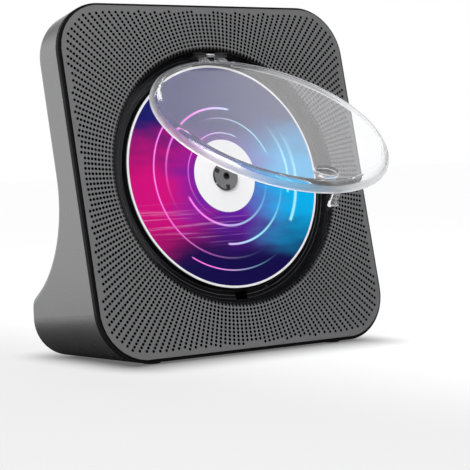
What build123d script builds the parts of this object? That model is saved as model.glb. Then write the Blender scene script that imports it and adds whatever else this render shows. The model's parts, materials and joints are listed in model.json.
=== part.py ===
"""Desktop disc player with a leaning slab body, a swept foot and a clear hinged lid.

Units are millimetres, +Z is up and the origin lies on the table under the middle of the
foot.  The front faces -Y.  Most pieces are drawn on planes parallel to the leaning front
panel: there local x runs to the viewer's right, local y runs up the panel from the centre of
the disc, and depth is measured into the body from the grille's front face.
"""
from build123d import *
from math import atan2, cos, degrees, pi, radians, sin, tan
import os

os.makedirs("parts", exist_ok=True)

# ---------------------------------------------------------------- driving dimensions
LEAN = 11.5                     # how far the front panel leans back, degrees
BODY_W = 182.0                  # overall width
BODY_H = 188.0                  # height of the outline, measured up the panel
CENTRE_H = 94.25                # height of the disc centre in that outline
BODY_R = 27.0                   # corner radius of the outline
FOOT_R = 21.0                   # radius of the foot's lower corners at the back
SLAB_T = 24.2                   # slab thickness, front face to back face
BAND = 3.6                      # depth at which the black rim meets the shell
RIM_FRONT = 1.1                 # depth of the rim's front, which the grille stands out from
BEZEL = 1.4                     # width of the black rim beside and above the grille
SILL = 1.75                     # its width under the grille
FOOT_D = 75.5                   # depth of the foot, front edge to back wall
SWEEP_R = 56.5                  # radius of the hollow curve from slab to foot
SWEEP_V = 99.5                  # height up the panel at which that curve begins
SWEEP_TURN = 67.5               # angle through which it turns, degrees
WALL = 2.4                      # wall thickness of the shell
FEET_H = 1.2                    # height of the rubber feet under the shell

GRILLE_T = 1.0                  # grille sheet thickness
CLOTH_T = 0.3                   # acoustic cloth thickness
LIP_R = 66.6                    # inner radius of the grille's rolled lip
LIP_ROLL = 4.2                  # radius of the roll
BAFFLE_TOP = 1.4                # depth of the baffle's front face

DISC_R = 60.0
DISC_T = 1.2
DISC_HOLE_R = 7.5
DISC_TOP = 3.2                  # depth of the disc's printed face
RING_DEPTH = 6.0                # depth of the ring that the lid's rim closes on
RECESS_R = 61.2                 # radius of the disc recess
DECK_FLOOR = 7.4                # depth of the recess's floor
DECK_T = 1.8

LID_R = 63.5                    # radius at the lid's rim
LID_FACE_R = 59.2               # radius at which the flat face starts to round over
LID_WALL = 1.7
LID_HEIGHT = 5.5
LID_OUTER_MID = (62.25, -1.9)   # point on the rounded shoulder, outside and inside
LID_INNER_MID = (60.75, -2.9)
LID_TOP = 0.1                   # height of the lid's face above the hinge axis
HINGE_Y = 65.6                  # hinge axis, up from the disc centre
HINGE_OUT = 0.2                 # hinge axis, out from the grille's face
LID_OPEN = 45.5                 # opening angle at which the lid rests, degrees
PIN_R = 0.6
BARREL_R = 1.6
FIT = 0.05                      # radial clearance of a running fit

SPEAKER_X = 65.0
SPEAKER_Y = -66.0
SPEAKER_R = 20.5

# ---------------------------------------------------------------- planes and placements
LEAN_SIN = sin(radians(LEAN))
LEAN_COS = cos(radians(LEAN))
TOP_H = BODY_H - CENTRE_H                     # height of the outline above the disc centre
FOOT_Y = -FOOT_D / 2                        # front edge of the foot
FOOT_Z = FEET_H + SILL * LEAN_COS          # height of the grille's lower edge
CENTRE_V = CENTRE_H - SILL                   # disc centre, up the panel from that edge
PANEL_ORIGIN = (0, FOOT_Y + CENTRE_V * LEAN_SIN, FOOT_Z + CENTRE_V * LEAN_COS)
OUTWARD = Vector(0, -LEAN_COS, LEAN_SIN)
PANEL = Plane(origin=PANEL_ORIGIN, x_dir=(1, 0, 0), z_dir=OUTWARD)
DISC_AXIS = Axis(PANEL_ORIGIN, OUTWARD)
SECTION = Plane(origin=PANEL_ORIGIN, x_dir=(1, 0, 0), z_dir=(0, -LEAN_SIN, -LEAN_COS))


def layer(depth):
    """Plane parallel to the front panel at a depth behind the grille's face."""
    return PANEL.offset(-depth)


def side_point(v, depth):
    """(y, z) of a point on the side view, v up the panel from the grille's lower edge."""
    y = FOOT_Y + v * LEAN_SIN + depth * LEAN_COS
    z = FOOT_Z + v * LEAN_COS - depth * LEAN_SIN
    return (y, z)


def panel_point(x, y, depth):
    """World position of a point given by panel x, panel y and depth."""
    return PANEL.from_local_coords(Vector(x, y, -depth))


HINGE_POINT = panel_point(0, HINGE_Y, -HINGE_OUT)
LID_TILT = radians(LEAN + LID_OPEN)
LID_PLANE = Plane(origin=HINGE_POINT, x_dir=(1, 0, 0), z_dir=(0, -cos(LID_TILT), sin(LID_TILT)))


def save(part, name):
    """Label a finished piece and write its STEP file."""
    part.label = name
    export_step(part, f"parts/{name}.step")


# ---------------------------------------------------------------- cabinet shell
def lower_form(inset, floor_z):
    """Prism along Y whose lower corners go from the outline's radius to the foot's."""
    with BuildPart() as prism:
        for y, radius in ((FOOT_Y - 1, BODY_R), (FOOT_Y + FOOT_D + 1, FOOT_R)):
            with BuildSketch(Plane.XZ.offset(-y)) as lower:
                with Locations((0, floor_z)):
                    Rectangle(BODY_W - 2 * inset, 2.2 * BODY_H, align=(Align.CENTER, Align.MIN))
                fillet(lower.vertices().group_by(Axis.Y)[0], radius - inset)
        loft(ruled=True)
    return prism.part


def body_form(inset, front):
    """The body's outer form, shrunk by inset, with its front cut at a panel depth."""
    floor_z = FEET_H + inset
    back_y = FOOT_Y + FOOT_D - inset
    start = side_point(SWEEP_V, SLAB_T - inset)
    centre_y = start[0] + (SWEEP_R + inset) * LEAN_COS
    centre_z = start[1] - (SWEEP_R + inset) * LEAN_SIN
    half_turn = radians(180 - LEAN + SWEEP_TURN / 2)
    full_turn = radians(180 - LEAN + SWEEP_TURN)
    radius = SWEEP_R + inset
    middle = (centre_y + radius * cos(half_turn), centre_z + radius * sin(half_turn))
    end = (centre_y + radius * cos(full_turn), centre_z + radius * sin(full_turn))
    slope = tan(radians(SWEEP_TURN - LEAN - 90))
    knee = (back_y, end[1] + (back_y - end[0]) * slope)
    top_back = side_point(BODY_H + 20, SLAB_T - inset)
    top_front = side_point(BODY_H + 20, front)
    floor_front = (top_front[0] - (top_front[1] - floor_z) * tan(radians(LEAN)), floor_z)
    with BuildPart() as form:
        with BuildSketch(Plane.YZ) as side:
            with BuildLine():
                Polyline(floor_front, top_front, top_back, start)
                ThreePointArc(start, middle, end)
                Polyline(end, knee, (back_y, floor_z), floor_front)
            make_face()
            corners = side.vertices().sort_by(Axis.X)[-2:]
            fillet(corners.sort_by(Axis.Y)[-1:], 7 - inset)
        extrude(amount=BODY_W, both=True)
        with BuildSketch(PANEL.offset(40)) as upper:
            with Locations((0, TOP_H - inset)):
                Rectangle(BODY_W - 2 * inset, 2.2 * BODY_H, align=(Align.CENTER, Align.MAX))
            fillet(upper.vertices().group_by(Axis.Y)[-1], BODY_R - inset)
        extrude(upper.sketch, amount=-220, mode=Mode.INTERSECT)
        add(lower_form(inset, floor_z), mode=Mode.INTERSECT)
    return form.part


def on_panel(x, y, depth):
    """Plane parallel to the panel with its origin at panel x, panel y and depth."""
    return Plane(origin=panel_point(x, y, depth), x_dir=(1, 0, 0), z_dir=OUTWARD)


def panel_post(x, y, top, bottom, outer_r, hole_r=0):
    """Round post or tube along the panel's normal, between two depths."""
    with BuildPart() as post:
        with BuildSketch(on_panel(x, y, bottom)):
            Circle(outer_r)
            if hole_r:
                Circle(hole_r, mode=Mode.SUBTRACT)
        extrude(amount=bottom - top)
    return post.part


def panel_box(x, y, top, bottom, width, height):
    """Block along the panel's normal, centred on panel x and y."""
    with BuildPart() as block:
        with BuildSketch(on_panel(x, y, bottom)):
            Rectangle(width, height)
        extrude(amount=bottom - top)
    return block.part


def panel_screw(x, y, seat, tip, head_r, shank_r, head_h):
    """Pan-head screw driven forward from behind: head at the seat, tip nearer the front."""
    with BuildPart() as screw:
        with BuildSketch(on_panel(x, y, seat + head_h)):
            Circle(head_r)
        extrude(amount=head_h)
        chamfer(screw.edges().sort_by(DISC_AXIS)[0], head_h * 0.3)
        with BuildSketch(on_panel(x, y, seat)):
            Circle(shank_r)
        extrude(amount=seat - tip)
        with BuildSketch(on_panel(x, y, seat + head_h)):
            Rectangle(head_r * 1.1, head_r * 0.24)
            Rectangle(head_r * 0.24, head_r * 1.1)
        extrude(amount=head_h * 0.5, mode=Mode.SUBTRACT)
    return screw.part


# ---------------------------------------------------------------- fixing places
CASE_SCREWS = [(-78, 76), (78, 76), (-82, 26), (82, 26)]     # panel x and y
CASE_POST_TOP = 9.0
DECK_TABS = [(75, 0), (37.5, 65), (-37.5, 65), (-75, 0), (-16.9, -73.1), (16.9, -73.1)]
DECK_TAB_TOP = 6.0
M2_HEAD_R = 1.9
M2_HEAD_H = 1.3
M2_R = 0.9
M2_TIP = 2.9                    # grip below the head's seat that the shank reaches
BUTTON_X = [-37.5, -22.5, -7.5, 7.5, 22.5, 37.5]
BUTTON_NAMES = ["power_button", "previous_button", "play_button", "next_button",
                "volume_down_button", "volume_up_button"]
BUTTON_DEPTH = 12.6
BUTTON_R = 4.2
BUTTON_PLANE = Plane(origin=panel_point(0, TOP_H, BUTTON_DEPTH), x_dir=(1, 0, 0),
                     z_dir=(0, LEAN_SIN, LEAN_COS))
KEYS_BOARD_TOP = -7.2           # below the top face, as the next three
KEYS_BOARD_T = 1.6
KEYS_SWITCH_TOP = -4.65
KEYS_POST_X = 46.0
SPEAKER_PLACES = [(-SPEAKER_X, SPEAKER_Y), (SPEAKER_X, SPEAKER_Y)]
SPEAKER_WINDOW_R = 16.9
SPEAKER_SCREW_R = 18.9
CONE_R = 16.4

BACK_Y = FOOT_Y + FOOT_D
INNER_FLOOR = FEET_H + WALL
PORT_Z = 15.0
PORT_W = 84.0
PORT_H = 13.0
REAR = Plane(origin=(0, BACK_Y, PORT_Z), x_dir=(-1, 0, 0), z_dir=(0, 1, 0))
SWITCH_X = 33.0                 # places along the port panel
USB_C_X = 17.0
USB_A_X = 0.0
JACK_X = [-17.0, -31.0]
BOARD_Z = 10.96
BOARD_T = 1.6
BOARD_TOP = BOARD_Z + BOARD_T
BOARD_Y = (10.2, 34.0)
BOARD_POSTS = [(-50, 14), (50, 14), (-50, 31), (50, 31)]
COVER_W = 104.0
COVER_D = 56.0
COVER_T = 1.6
COVER_SCREWS = [(-48.5, -24.5), (48.5, -24.5), (-48.5, 24.5), (48.5, 24.5)]
HOLDER_SCREWS = [(-56, -1.75), (56, -1.75)]
UNDER = Plane(origin=(0, 0, FEET_H), x_dir=(1, 0, 0), z_dir=(0, 0, 1))

with BuildPart() as cabinet_shell:
    add(body_form(0, BAND))
    back_faces = [f for f in cabinet_shell.faces()
                  if abs(f.center().X) < 1 and f.normal_at(f.center()).Y > 0.3]
    back_edges = [e for f in back_faces for e in f.edges() if abs(e.center().X) > 1]
    fillet(ShapeList(back_edges), 4.0)
    add(body_form(WALL, -5), mode=Mode.SUBTRACT)
    for place in CASE_SCREWS:
        add(panel_post(*place, CASE_POST_TOP, SLAB_T - WALL + 0.2, 3.4))
    for place in BOARD_POSTS:
        with BuildSketch(UNDER.offset(COVER_T + 0.1)):
            with Locations(place):
                Circle(2.6)
        extrude(amount=BOARD_Z - FEET_H - COVER_T - 0.1)
    with BuildSketch(BUTTON_PLANE.offset(KEYS_BOARD_TOP)):
        with Locations((-KEYS_POST_X, 0), (KEYS_POST_X, 0)):
            Circle(2.4)
    extrude(amount=-KEYS_BOARD_TOP - WALL + 0.2)
    for place in CASE_SCREWS:
        add(panel_post(*place, 0, SLAB_T + 1, 1.6), mode=Mode.SUBTRACT)
        add(panel_post(*place, SLAB_T - 1.4, SLAB_T + 1, 3.1), mode=Mode.SUBTRACT)
    with BuildSketch(BUTTON_PLANE):
        with Locations([(x, 0) for x in BUTTON_X]):
            Circle(BUTTON_R + 0.25)
    extrude(amount=-WALL - 1, mode=Mode.SUBTRACT)
    with BuildSketch(BUTTON_PLANE.offset(KEYS_BOARD_TOP)):
        with Locations((-KEYS_POST_X, 0), (KEYS_POST_X, 0)):
            Circle(M2_R)
    extrude(amount=M2_TIP + 0.4, mode=Mode.SUBTRACT)
    with BuildSketch(REAR):
        RectangleRounded(PORT_W, PORT_H, 2.0)
    extrude(amount=-WALL - 1, mode=Mode.SUBTRACT)
    with BuildSketch(UNDER):
        RectangleRounded(COVER_W + 0.4, COVER_D + 0.4, 3.2)
    extrude(amount=COVER_T, mode=Mode.SUBTRACT)
    with BuildSketch(UNDER):
        RectangleRounded(COVER_W - 14, COVER_D - 14, 3.0)
    extrude(amount=WALL + 1, mode=Mode.SUBTRACT)
    with BuildSketch(UNDER.offset(COVER_T)):
        with Locations(COVER_SCREWS):
            Circle(2.9)
    extrude(amount=4.0)
    with BuildSketch(UNDER.offset(COVER_T)):
        with Locations(COVER_SCREWS):
            Circle(1.2)
    extrude(amount=3.4, mode=Mode.SUBTRACT)
    with BuildSketch(UNDER.offset(BOARD_Z - FEET_H)):
        with Locations(BOARD_POSTS):
            Circle(M2_R)
    extrude(amount=-M2_TIP - BOARD_T, mode=Mode.SUBTRACT)
    with BuildSketch(UNDER.offset(WALL)):
        with Locations(HOLDER_SCREWS):
            Circle(M2_R)
    extrude(amount=-1.8, mode=Mode.SUBTRACT)
save(cabinet_shell.part, "cabinet_shell")

# ---------------------------------------------------------------- front housing, cloth and grille
WELL_HOLE_R = 71.2
TONGUE_END = 7.0
TONGUE_T = 1.6
TONGUE_GAP = 0.2
BEZEL_HOLE_W = BODY_W - 2 * BEZEL
BEZEL_HOLE_H = 2 * (CENTRE_H - SILL)
BOSS_END = 8.8
IR_X = 30.0
IR_Y = 82.6
LIP_CENTRE_R = LIP_R + LIP_ROLL


def slab(top, bottom):
    """Large plate along the panel's normal, used to trim other forms."""
    return panel_box(0, 0, top, bottom, 300, 300)


with BuildPart() as band_frame:
    add(body_form(0, 0))
    add(slab(RIM_FRONT, BAND), mode=Mode.INTERSECT)
    with BuildSketch(layer(BAFFLE_TOP)):
        RectangleRounded(BEZEL_HOLE_W, BEZEL_HOLE_H, BODY_R - BEZEL)
    extrude(amount=BAFFLE_TOP + 1, mode=Mode.SUBTRACT)
with BuildPart() as tongue:
    add(body_form(WALL + TONGUE_GAP, BAND))
    add(body_form(WALL + TONGUE_GAP + TONGUE_T, -5), mode=Mode.SUBTRACT)
    add(slab(BAND, TONGUE_END), mode=Mode.INTERSECT)
with BuildPart() as front_housing:
    add(band_frame.part)
    add(tongue.part)
    for place in CASE_SCREWS:
        add(panel_post(*place, BAND, BOSS_END, 3.0))
    for place in DECK_TABS:
        add(panel_post(*place, BAND, DECK_TAB_TOP, 2.8))
    add(panel_post(0, 0, 0, TONGUE_END + 3, WELL_HOLE_R), mode=Mode.SUBTRACT)
    for place in SPEAKER_PLACES:
        add(panel_post(*place, 0, BAND + 1, SPEAKER_WINDOW_R), mode=Mode.SUBTRACT)
        with BuildSketch(on_panel(*place, BAND)):
            with PolarLocations(SPEAKER_SCREW_R, 4, start_angle=45):
                Circle(0.7)
        extrude(amount=1.2, mode=Mode.SUBTRACT)
    add(panel_post(IR_X, IR_Y, 0, BAND + 1, 2.6), mode=Mode.SUBTRACT)
    for place in CASE_SCREWS:
        add(panel_post(*place, BAFFLE_TOP + 0.6, BOSS_END, 1.25), mode=Mode.SUBTRACT)
    for place in DECK_TABS:
        add(panel_post(*place, DECK_TAB_TOP - M2_TIP, DECK_TAB_TOP, M2_R), mode=Mode.SUBTRACT)
save(front_housing.part, "front_housing")

with BuildPart() as acoustic_cloth:
    with BuildSketch(layer(BAFFLE_TOP - 0.05)):
        RectangleRounded(BEZEL_HOLE_W - 0.9, BEZEL_HOLE_H - 0.9, BODY_R - BEZEL - 0.4)
        Circle(WELL_HOLE_R + 0.4, mode=Mode.SUBTRACT)
    extrude(amount=CLOTH_T)
save(acoustic_cloth.part, "acoustic_cloth")

with BuildPart() as front_grille:
    with BuildSketch(layer(GRILLE_T)):
        RectangleRounded(BEZEL_HOLE_W - 0.3, BEZEL_HOLE_H - 0.3, BODY_R - BEZEL - 0.15)
        Circle(LIP_CENTRE_R, mode=Mode.SUBTRACT)
    extrude(amount=GRILLE_T)
    with BuildSketch(SECTION):
        with BuildLine():
            RadiusArc((LIP_CENTRE_R, 0), (LIP_R, -LIP_ROLL), -LIP_ROLL)
            Line((LIP_R, -LIP_ROLL), (LIP_R + GRILLE_T, -LIP_ROLL))
            RadiusArc((LIP_R + GRILLE_T, -LIP_ROLL), (LIP_CENTRE_R, -GRILLE_T),
                      LIP_ROLL - GRILLE_T)
            Line((LIP_CENTRE_R, -GRILLE_T), (LIP_CENTRE_R, 0))
        make_face()
    revolve(axis=DISC_AXIS)
save(front_grille.part, "front_grille")

# ---------------------------------------------------------------- disc deck
DECK_BACK = DECK_FLOOR + DECK_T
DECK_BORE_R = 15.0              # hole that the turntable runs in
RING_STEPS = (63.5, 65.5)       # radii at which the ring steps forward
UPSTAND_IN = 69.2               # the wall that stands up inside the grille's lip
UPSTAND_OUT = 70.5
UPSTAND_TOP = 3.1
STEP_H = 0.3
SOFT = 0.1                      # half width of the slope at each step
HOOK_X = 0.8
HOOK_W = 4.8
HINGE_LUG_IN = 8.3
HINGE_LUG_OUT = 10.5
HINGE_HEAD_R = 1.6
SPRING_POST_X = -2.4
CHASSIS_TOP = 10.6
CHASSIS_T = 1.2
CHASSIS_BACK = CHASSIS_TOP + CHASSIS_T
GROMMETS = [(-26, -22), (73, -22), (-26, 34), (73, 24)]
GROMMET_NECK_R = 2.6
GROMMET_R = 3.6
GROMMET_POST_R = 1.3
GROMMET_END = CHASSIS_BACK + 1.3
PLUNGER_PLACE = (18.0, -60.4)
PLUNGER_R = 0.8
LATCH_SCREWS = [(HOOK_X - 10, -65.5), (HOOK_X + 10, -65.5)]
LATCH_TOP = 9.3
WINDOW_IN = 20.2
WINDOW_OUT = 60.8


def deck_arm(x, y):
    """Arm from the deck's rim out to a fixing boss."""
    reach = (x * x + y * y) ** 0.5
    with BuildPart() as arm:
        with BuildSketch(layer(DECK_TAB_TOP + DECK_T)):
            with Locations((x, y)):
                Circle(3.2)
            with Locations(Location((x * 0.96, y * 0.96, 0), (0, 0, degrees(atan2(y, x))))):
                Rectangle(reach * 0.08, 4.6)
        extrude(amount=DECK_T)
    return arm.part


with BuildPart() as disc_well:
    with BuildSketch(SECTION):
        with BuildLine():
            low = RING_DEPTH + STEP_H
            high = RING_DEPTH - STEP_H
            Polyline((DECK_BORE_R, -DECK_FLOOR), (RECESS_R, -DECK_FLOOR),
                     (RECESS_R, -low - 2 * SOFT), (RECESS_R + 2 * SOFT, -low),
                     (RING_STEPS[0] - SOFT, -low), (RING_STEPS[0] + SOFT, -RING_DEPTH),
                     (RING_STEPS[1] - SOFT, -RING_DEPTH), (RING_STEPS[1] + SOFT, -high),
                     (UPSTAND_IN, -high), (UPSTAND_IN, -UPSTAND_TOP),
                     (UPSTAND_OUT, -UPSTAND_TOP), (UPSTAND_OUT, -RING_DEPTH - DECK_T),
                     (RECESS_R + 1.3, -RING_DEPTH - DECK_T), (RECESS_R + 1.3, -DECK_BACK),
                     (DECK_BORE_R, -DECK_BACK), (DECK_BORE_R, -DECK_FLOOR))
        make_face()
    revolve(axis=DISC_AXIS)
    for place in DECK_TABS:
        add(deck_arm(*place))
    for place in GROMMETS:
        if place[0] > 60:
            add(panel_box(0.5 * (place[0] + 58), place[1], 8.0, DECK_BACK, place[0] - 54, 6))
        add(panel_post(*place, DECK_BACK - 1.2, GROMMET_END, GROMMET_POST_R))
    for place in LATCH_SCREWS:
        add(panel_post(*place, 7.0, LATCH_TOP, 1.9))
    with BuildSketch(Plane.YZ.offset(HINGE_LUG_IN)) as lug:
        with BuildLine():
            head = [panel_point(0, HINGE_Y, -HINGE_OUT)]
            stem = [panel_point(0, y, d) for y, d in
                    ((HINGE_Y - 2.1, 6.2), (HINGE_Y - 2.1, -HINGE_OUT + 0.6),
                     (HINGE_Y - 0.3, -HINGE_OUT + 0.6), (HINGE_Y - 0.3, 6.2))]
            Polyline(*[(p.Y, p.Z) for p in stem], close=True)
        make_face()
        with Locations((head[0].Y, head[0].Z)):
            Circle(HINGE_HEAD_R)
            Circle(PIN_R, mode=Mode.SUBTRACT)
    extrude(amount=HINGE_LUG_OUT - HINGE_LUG_IN)
    extrude(lug.sketch.moved(Location((-2 * HINGE_LUG_IN, 0, 0))),
            amount=HINGE_LUG_IN - HINGE_LUG_OUT)
    with BuildSketch(layer(6.4)):
        with Locations((SPRING_POST_X, HINGE_Y - 1.2)):
            Rectangle(1.6, 2.0)
    extrude(amount=2.2)
    for place in DECK_TABS:
        add(panel_post(*place, DECK_TAB_TOP, DECK_TAB_TOP + DECK_T, M2_R + 0.2),
            mode=Mode.SUBTRACT)
    with BuildSketch(layer(DECK_BACK + 1)):
        with Locations((0.5 * (WINDOW_IN + WINDOW_OUT), 0)):
            Rectangle(WINDOW_OUT - WINDOW_IN, 11.6)
    extrude(amount=DECK_T + 3, mode=Mode.SUBTRACT)
    add(panel_box(HOOK_X, -63.5, 5.0, DECK_BACK + 2, HOOK_W + 3, 5.4), mode=Mode.SUBTRACT)
    add(panel_post(*PLUNGER_PLACE, 5.0, DECK_BACK + 1, PLUNGER_R + 0.2), mode=Mode.SUBTRACT)
    add(panel_box(*PLUNGER_PLACE, 8.0, DECK_BACK + 1, 7.4, 6.4), mode=Mode.SUBTRACT)
    for place in GROMMETS:
        add(panel_post(*place, GROMMET_END - 3.0, GROMMET_END, 0.8), mode=Mode.SUBTRACT)
    for place in LATCH_SCREWS:
        add(panel_post(*place, LATCH_TOP - 2.2, LATCH_TOP, M2_R), mode=Mode.SUBTRACT)
save(disc_well.part, "disc_well")

# ---------------------------------------------------------------- lid, built open
LID_CENTRE_Y = -HINGE_Y
LID_SECTION = Plane(origin=LID_PLANE.from_local_coords(Vector(0, LID_CENTRE_Y, LID_TOP)),
                    x_dir=(1, 0, 0), z_dir=(0, -sin(LID_TILT), -cos(LID_TILT)))
LID_AXIS = Axis(LID_SECTION.origin, LID_PLANE.z_dir)
BARREL_IN = 3.2
BARREL_OUT = 8.0
HOOK_END = 13.8
HOOK_OUT_R = 62.9
HOOK_IN_R = 61.3
DIMPLE_Y = -51.1                # finger dimple, from the lid's centre
DIMPLE_W = 6.5                 # its half width and half height
DIMPLE_H = 4.5
DIMPLE_DEPTH = 1.5


def lid_block(x, y, top, bottom, width, height):
    """Block in the lid's own frame; top and bottom are depths below its face."""
    with BuildPart() as block:
        with BuildSketch(LID_PLANE.offset(LID_TOP - bottom)):
            with Locations((x, LID_CENTRE_Y + y)):
                Rectangle(width, height)
        extrude(amount=bottom - top)
    return block.part


with BuildPart() as lid:
    with BuildSketch(LID_SECTION):
        with BuildLine():
            inner_r = LID_FACE_R - 0.9
            Line((0, 0), (LID_FACE_R, 0))
            ThreePointArc((LID_FACE_R, 0), LID_OUTER_MID, (LID_R, -LID_HEIGHT))
            Line((LID_R, -LID_HEIGHT), (LID_R - LID_WALL, -LID_HEIGHT))
            ThreePointArc((LID_R - LID_WALL, -LID_HEIGHT), LID_INNER_MID, (inner_r, -LID_WALL))
            Line((inner_r, -LID_WALL), (0, -LID_WALL))
            Line((0, -LID_WALL), (0, 0))
        make_face()
    revolve(axis=LID_AXIS)
    add(lid_block(0, HINGE_Y - 2.5, 3.8, LID_HEIGHT + 1, 26, 12), mode=Mode.SUBTRACT)
    with BuildSketch(LID_PLANE.offset(LID_TOP)):
        with Locations((0, LID_CENTRE_Y + DIMPLE_Y)):
            Ellipse(DIMPLE_W + 0.5, DIMPLE_H + 0.5)
    extrude(amount=-LID_WALL - 1.3)
    with BuildSketch(LID_PLANE.offset(LID_TOP)):
        with Locations((0, LID_CENTRE_Y + DIMPLE_Y)):
            Ellipse(DIMPLE_W, DIMPLE_H)
    extrude(amount=-DIMPLE_DEPTH, mode=Mode.SUBTRACT)
    for side in (-1, 1):
        middle = side * 0.5 * (BARREL_IN + BARREL_OUT)
        add(lid_block(middle, HINGE_Y - 3.2, 0, 1.6, BARREL_OUT - BARREL_IN, 6.4))
        with BuildSketch(Plane.YZ.offset(side * BARREL_IN)):
            with Locations((HINGE_POINT.Y, HINGE_POINT.Z)):
                Circle(BARREL_R)
        extrude(amount=side * (BARREL_OUT - BARREL_IN))
    with BuildSketch(Plane.YZ):
        with Locations((HINGE_POINT.Y, HINGE_POINT.Z)):
            Circle(PIN_R + FIT)
    extrude(amount=BARREL_OUT + 1, both=True, mode=Mode.SUBTRACT)
    hook_mid = 0.5 * (HOOK_OUT_R + HOOK_IN_R)
    hook_t = HOOK_OUT_R - HOOK_IN_R
    add(lid_block(HOOK_X, -hook_mid, 3.6, HOOK_END, HOOK_W, hook_t))
    with BuildSketch(Plane.YZ.offset(HOOK_X - HOOK_W / 2)):
        with BuildLine():
            barb = [LID_PLANE.from_local_coords(Vector(0, LID_CENTRE_Y - r, LID_TOP - m))
                    for r, m in ((HOOK_OUT_R - 0.2, 12.1), (64.4, 12.1), (64.4, 12.6),
                                 (HOOK_OUT_R, HOOK_END), (HOOK_OUT_R - 0.2, HOOK_END))]
            Polyline(*[(p.Y, p.Z) for p in barb], close=True)
        make_face()
    extrude(amount=HOOK_W)
save(lid.part, "lid")

with BuildPart() as lid_hinge_pin:
    with BuildSketch(Plane.YZ):
        with Locations((HINGE_POINT.Y, HINGE_POINT.Z)):
            Circle(PIN_R)
    extrude(amount=HINGE_LUG_OUT + 0.2, both=True)
save(lid_hinge_pin.part, "lid_hinge_pin")


def rod(points, radius):
    """Round wire through world points, with slightly fatter balls at its start and bends."""
    with BuildPart() as wire:
        for start, end in zip(points, points[1:]):
            along = end - start
            with BuildSketch(Plane(origin=start, z_dir=along)):
                Circle(radius)
            extrude(amount=along.length)
        for point in points[:-1]:
            with Locations(point):
                Sphere(1.15 * radius)
    return wire.part


SPRING_WIRE = 0.22
SPRING_R = 1.0
SPRING_HALF = 2.4
SPRING_TURNS = 6.375
coil = Helix(2 * SPRING_HALF / SPRING_TURNS, 2 * SPRING_HALF, SPRING_R,
             center=HINGE_POINT - Vector(SPRING_HALF, 0, 0), direction=(1, 0, 0))
coil = coil.rotate(Axis(HINGE_POINT, (1, 0, 0)), -45)
with BuildPart() as lid_spring:
    with BuildLine():
        add(coil)
    with BuildSketch(Plane(origin=coil @ 0, z_dir=coil % 0)):
        Circle(SPRING_WIRE)
    sweep(is_frenet=True)
    post_foot = panel_point(-SPRING_HALF, HINGE_Y - 1.2, 4.2 - SPRING_WIRE)
    add(rod([coil @ 0, post_foot], SPRING_WIRE))
    under_arm = LID_PLANE.from_local_coords(Vector(SPRING_HALF, -2.6, LID_TOP - 1.6 - 0.26))
    add(rod([coil @ 1, under_arm, under_arm + Vector(2.2, 0, 0)], SPRING_WIRE))
save(lid_spring.part, "lid_spring")

# ---------------------------------------------------------------- latch and lid switch
LATCH_BACK = 18.3
LATCH_WALL = 1.2
LATCH_HALF_W = 7.2
LATCH_LOW = -72.4
LATCH_HIGH = -60.0
CATCH_EDGE = -65.2
CATCH_END = -68.4
CATCH_TOP = 10.4
CATCH_T = 1.4
latch_mid = 0.5 * (LATCH_LOW + LATCH_HIGH)
latch_len = LATCH_HIGH - LATCH_LOW
latch_cavity = panel_box(HOOK_X, latch_mid, LATCH_TOP - 1, LATCH_BACK - LATCH_WALL,
                         2 * (LATCH_HALF_W - LATCH_WALL), latch_len - 2 * LATCH_WALL)
with BuildPart() as latch_housing:
    add(panel_box(HOOK_X, latch_mid, LATCH_TOP, LATCH_BACK, 2 * LATCH_HALF_W, latch_len))
    for place, side in zip(LATCH_SCREWS, (-1, 1)):
        add(panel_box(place[0] - side * 1.0, place[1], LATCH_TOP, LATCH_TOP + 1.5, 5.8, 5.0))
    add(latch_cavity, mode=Mode.SUBTRACT)
    for place in LATCH_SCREWS:
        add(panel_post(*place, LATCH_TOP - 1, LATCH_TOP + 2, M2_R + 0.2), mode=Mode.SUBTRACT)
    ledge = 0.5 * (CATCH_EDGE - 0.2 + LATCH_LOW + LATCH_WALL)
    for side in (-1, 1):
        add(panel_box(HOOK_X + side * 5.5, ledge, CATCH_TOP + CATCH_T + 0.1,
                      CATCH_TOP + CATCH_T + 1.1, 1.4, CATCH_EDGE - LATCH_LOW - LATCH_WALL))
save(latch_housing.part, "latch_housing")

with BuildPart() as latch_slider:
    catch_mid = 0.5 * (CATCH_EDGE + CATCH_END)
    add(panel_box(HOOK_X, catch_mid, CATCH_TOP, CATCH_TOP + CATCH_T,
                  11.6, CATCH_EDGE - CATCH_END))
    lip_edge = latch_slider.edges().filter_by(Axis.X).sort_by(Axis((0, 0, 0), (0, LEAN_SIN,
                                                                              LEAN_COS)))
    chamfer(lip_edge[-1:], 0.3)
save(latch_slider.part, "latch_slider")

with BuildPart() as latch_spring:
    spring_start = panel_point(HOOK_X, CATCH_END - 0.2, CATCH_TOP + 1.2)
    spring_length = CATCH_END - 0.4 - LATCH_LOW - LATCH_WALL
    with BuildLine():
        turns = Helix(0.85, spring_length - 0.1, 0.8, center=spring_start,
                      direction=(0, -LEAN_SIN, -LEAN_COS))
    with BuildSketch(Plane(origin=turns @ 0, z_dir=turns % 0)):
        Circle(0.17)
    sweep(is_frenet=True)
save(latch_spring.part, "latch_spring")

SWITCH_TOP = 8.1
with BuildPart() as lid_switch:
    add(panel_box(PLUNGER_PLACE[0], PLUNGER_PLACE[1], SWITCH_TOP, 12.0, 7.0, 6.0))
    add(panel_post(*PLUNGER_PLACE, SWITCH_TOP - 1, 11.0, PLUNGER_R + 0.3), mode=Mode.SUBTRACT)
    for side in (-1, 1):
        add(panel_box(PLUNGER_PLACE[0] + side * 2, PLUNGER_PLACE[1], 12.0, 14.5, 0.5, 1.2))
save(lid_switch.part, "lid_switch")

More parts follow.
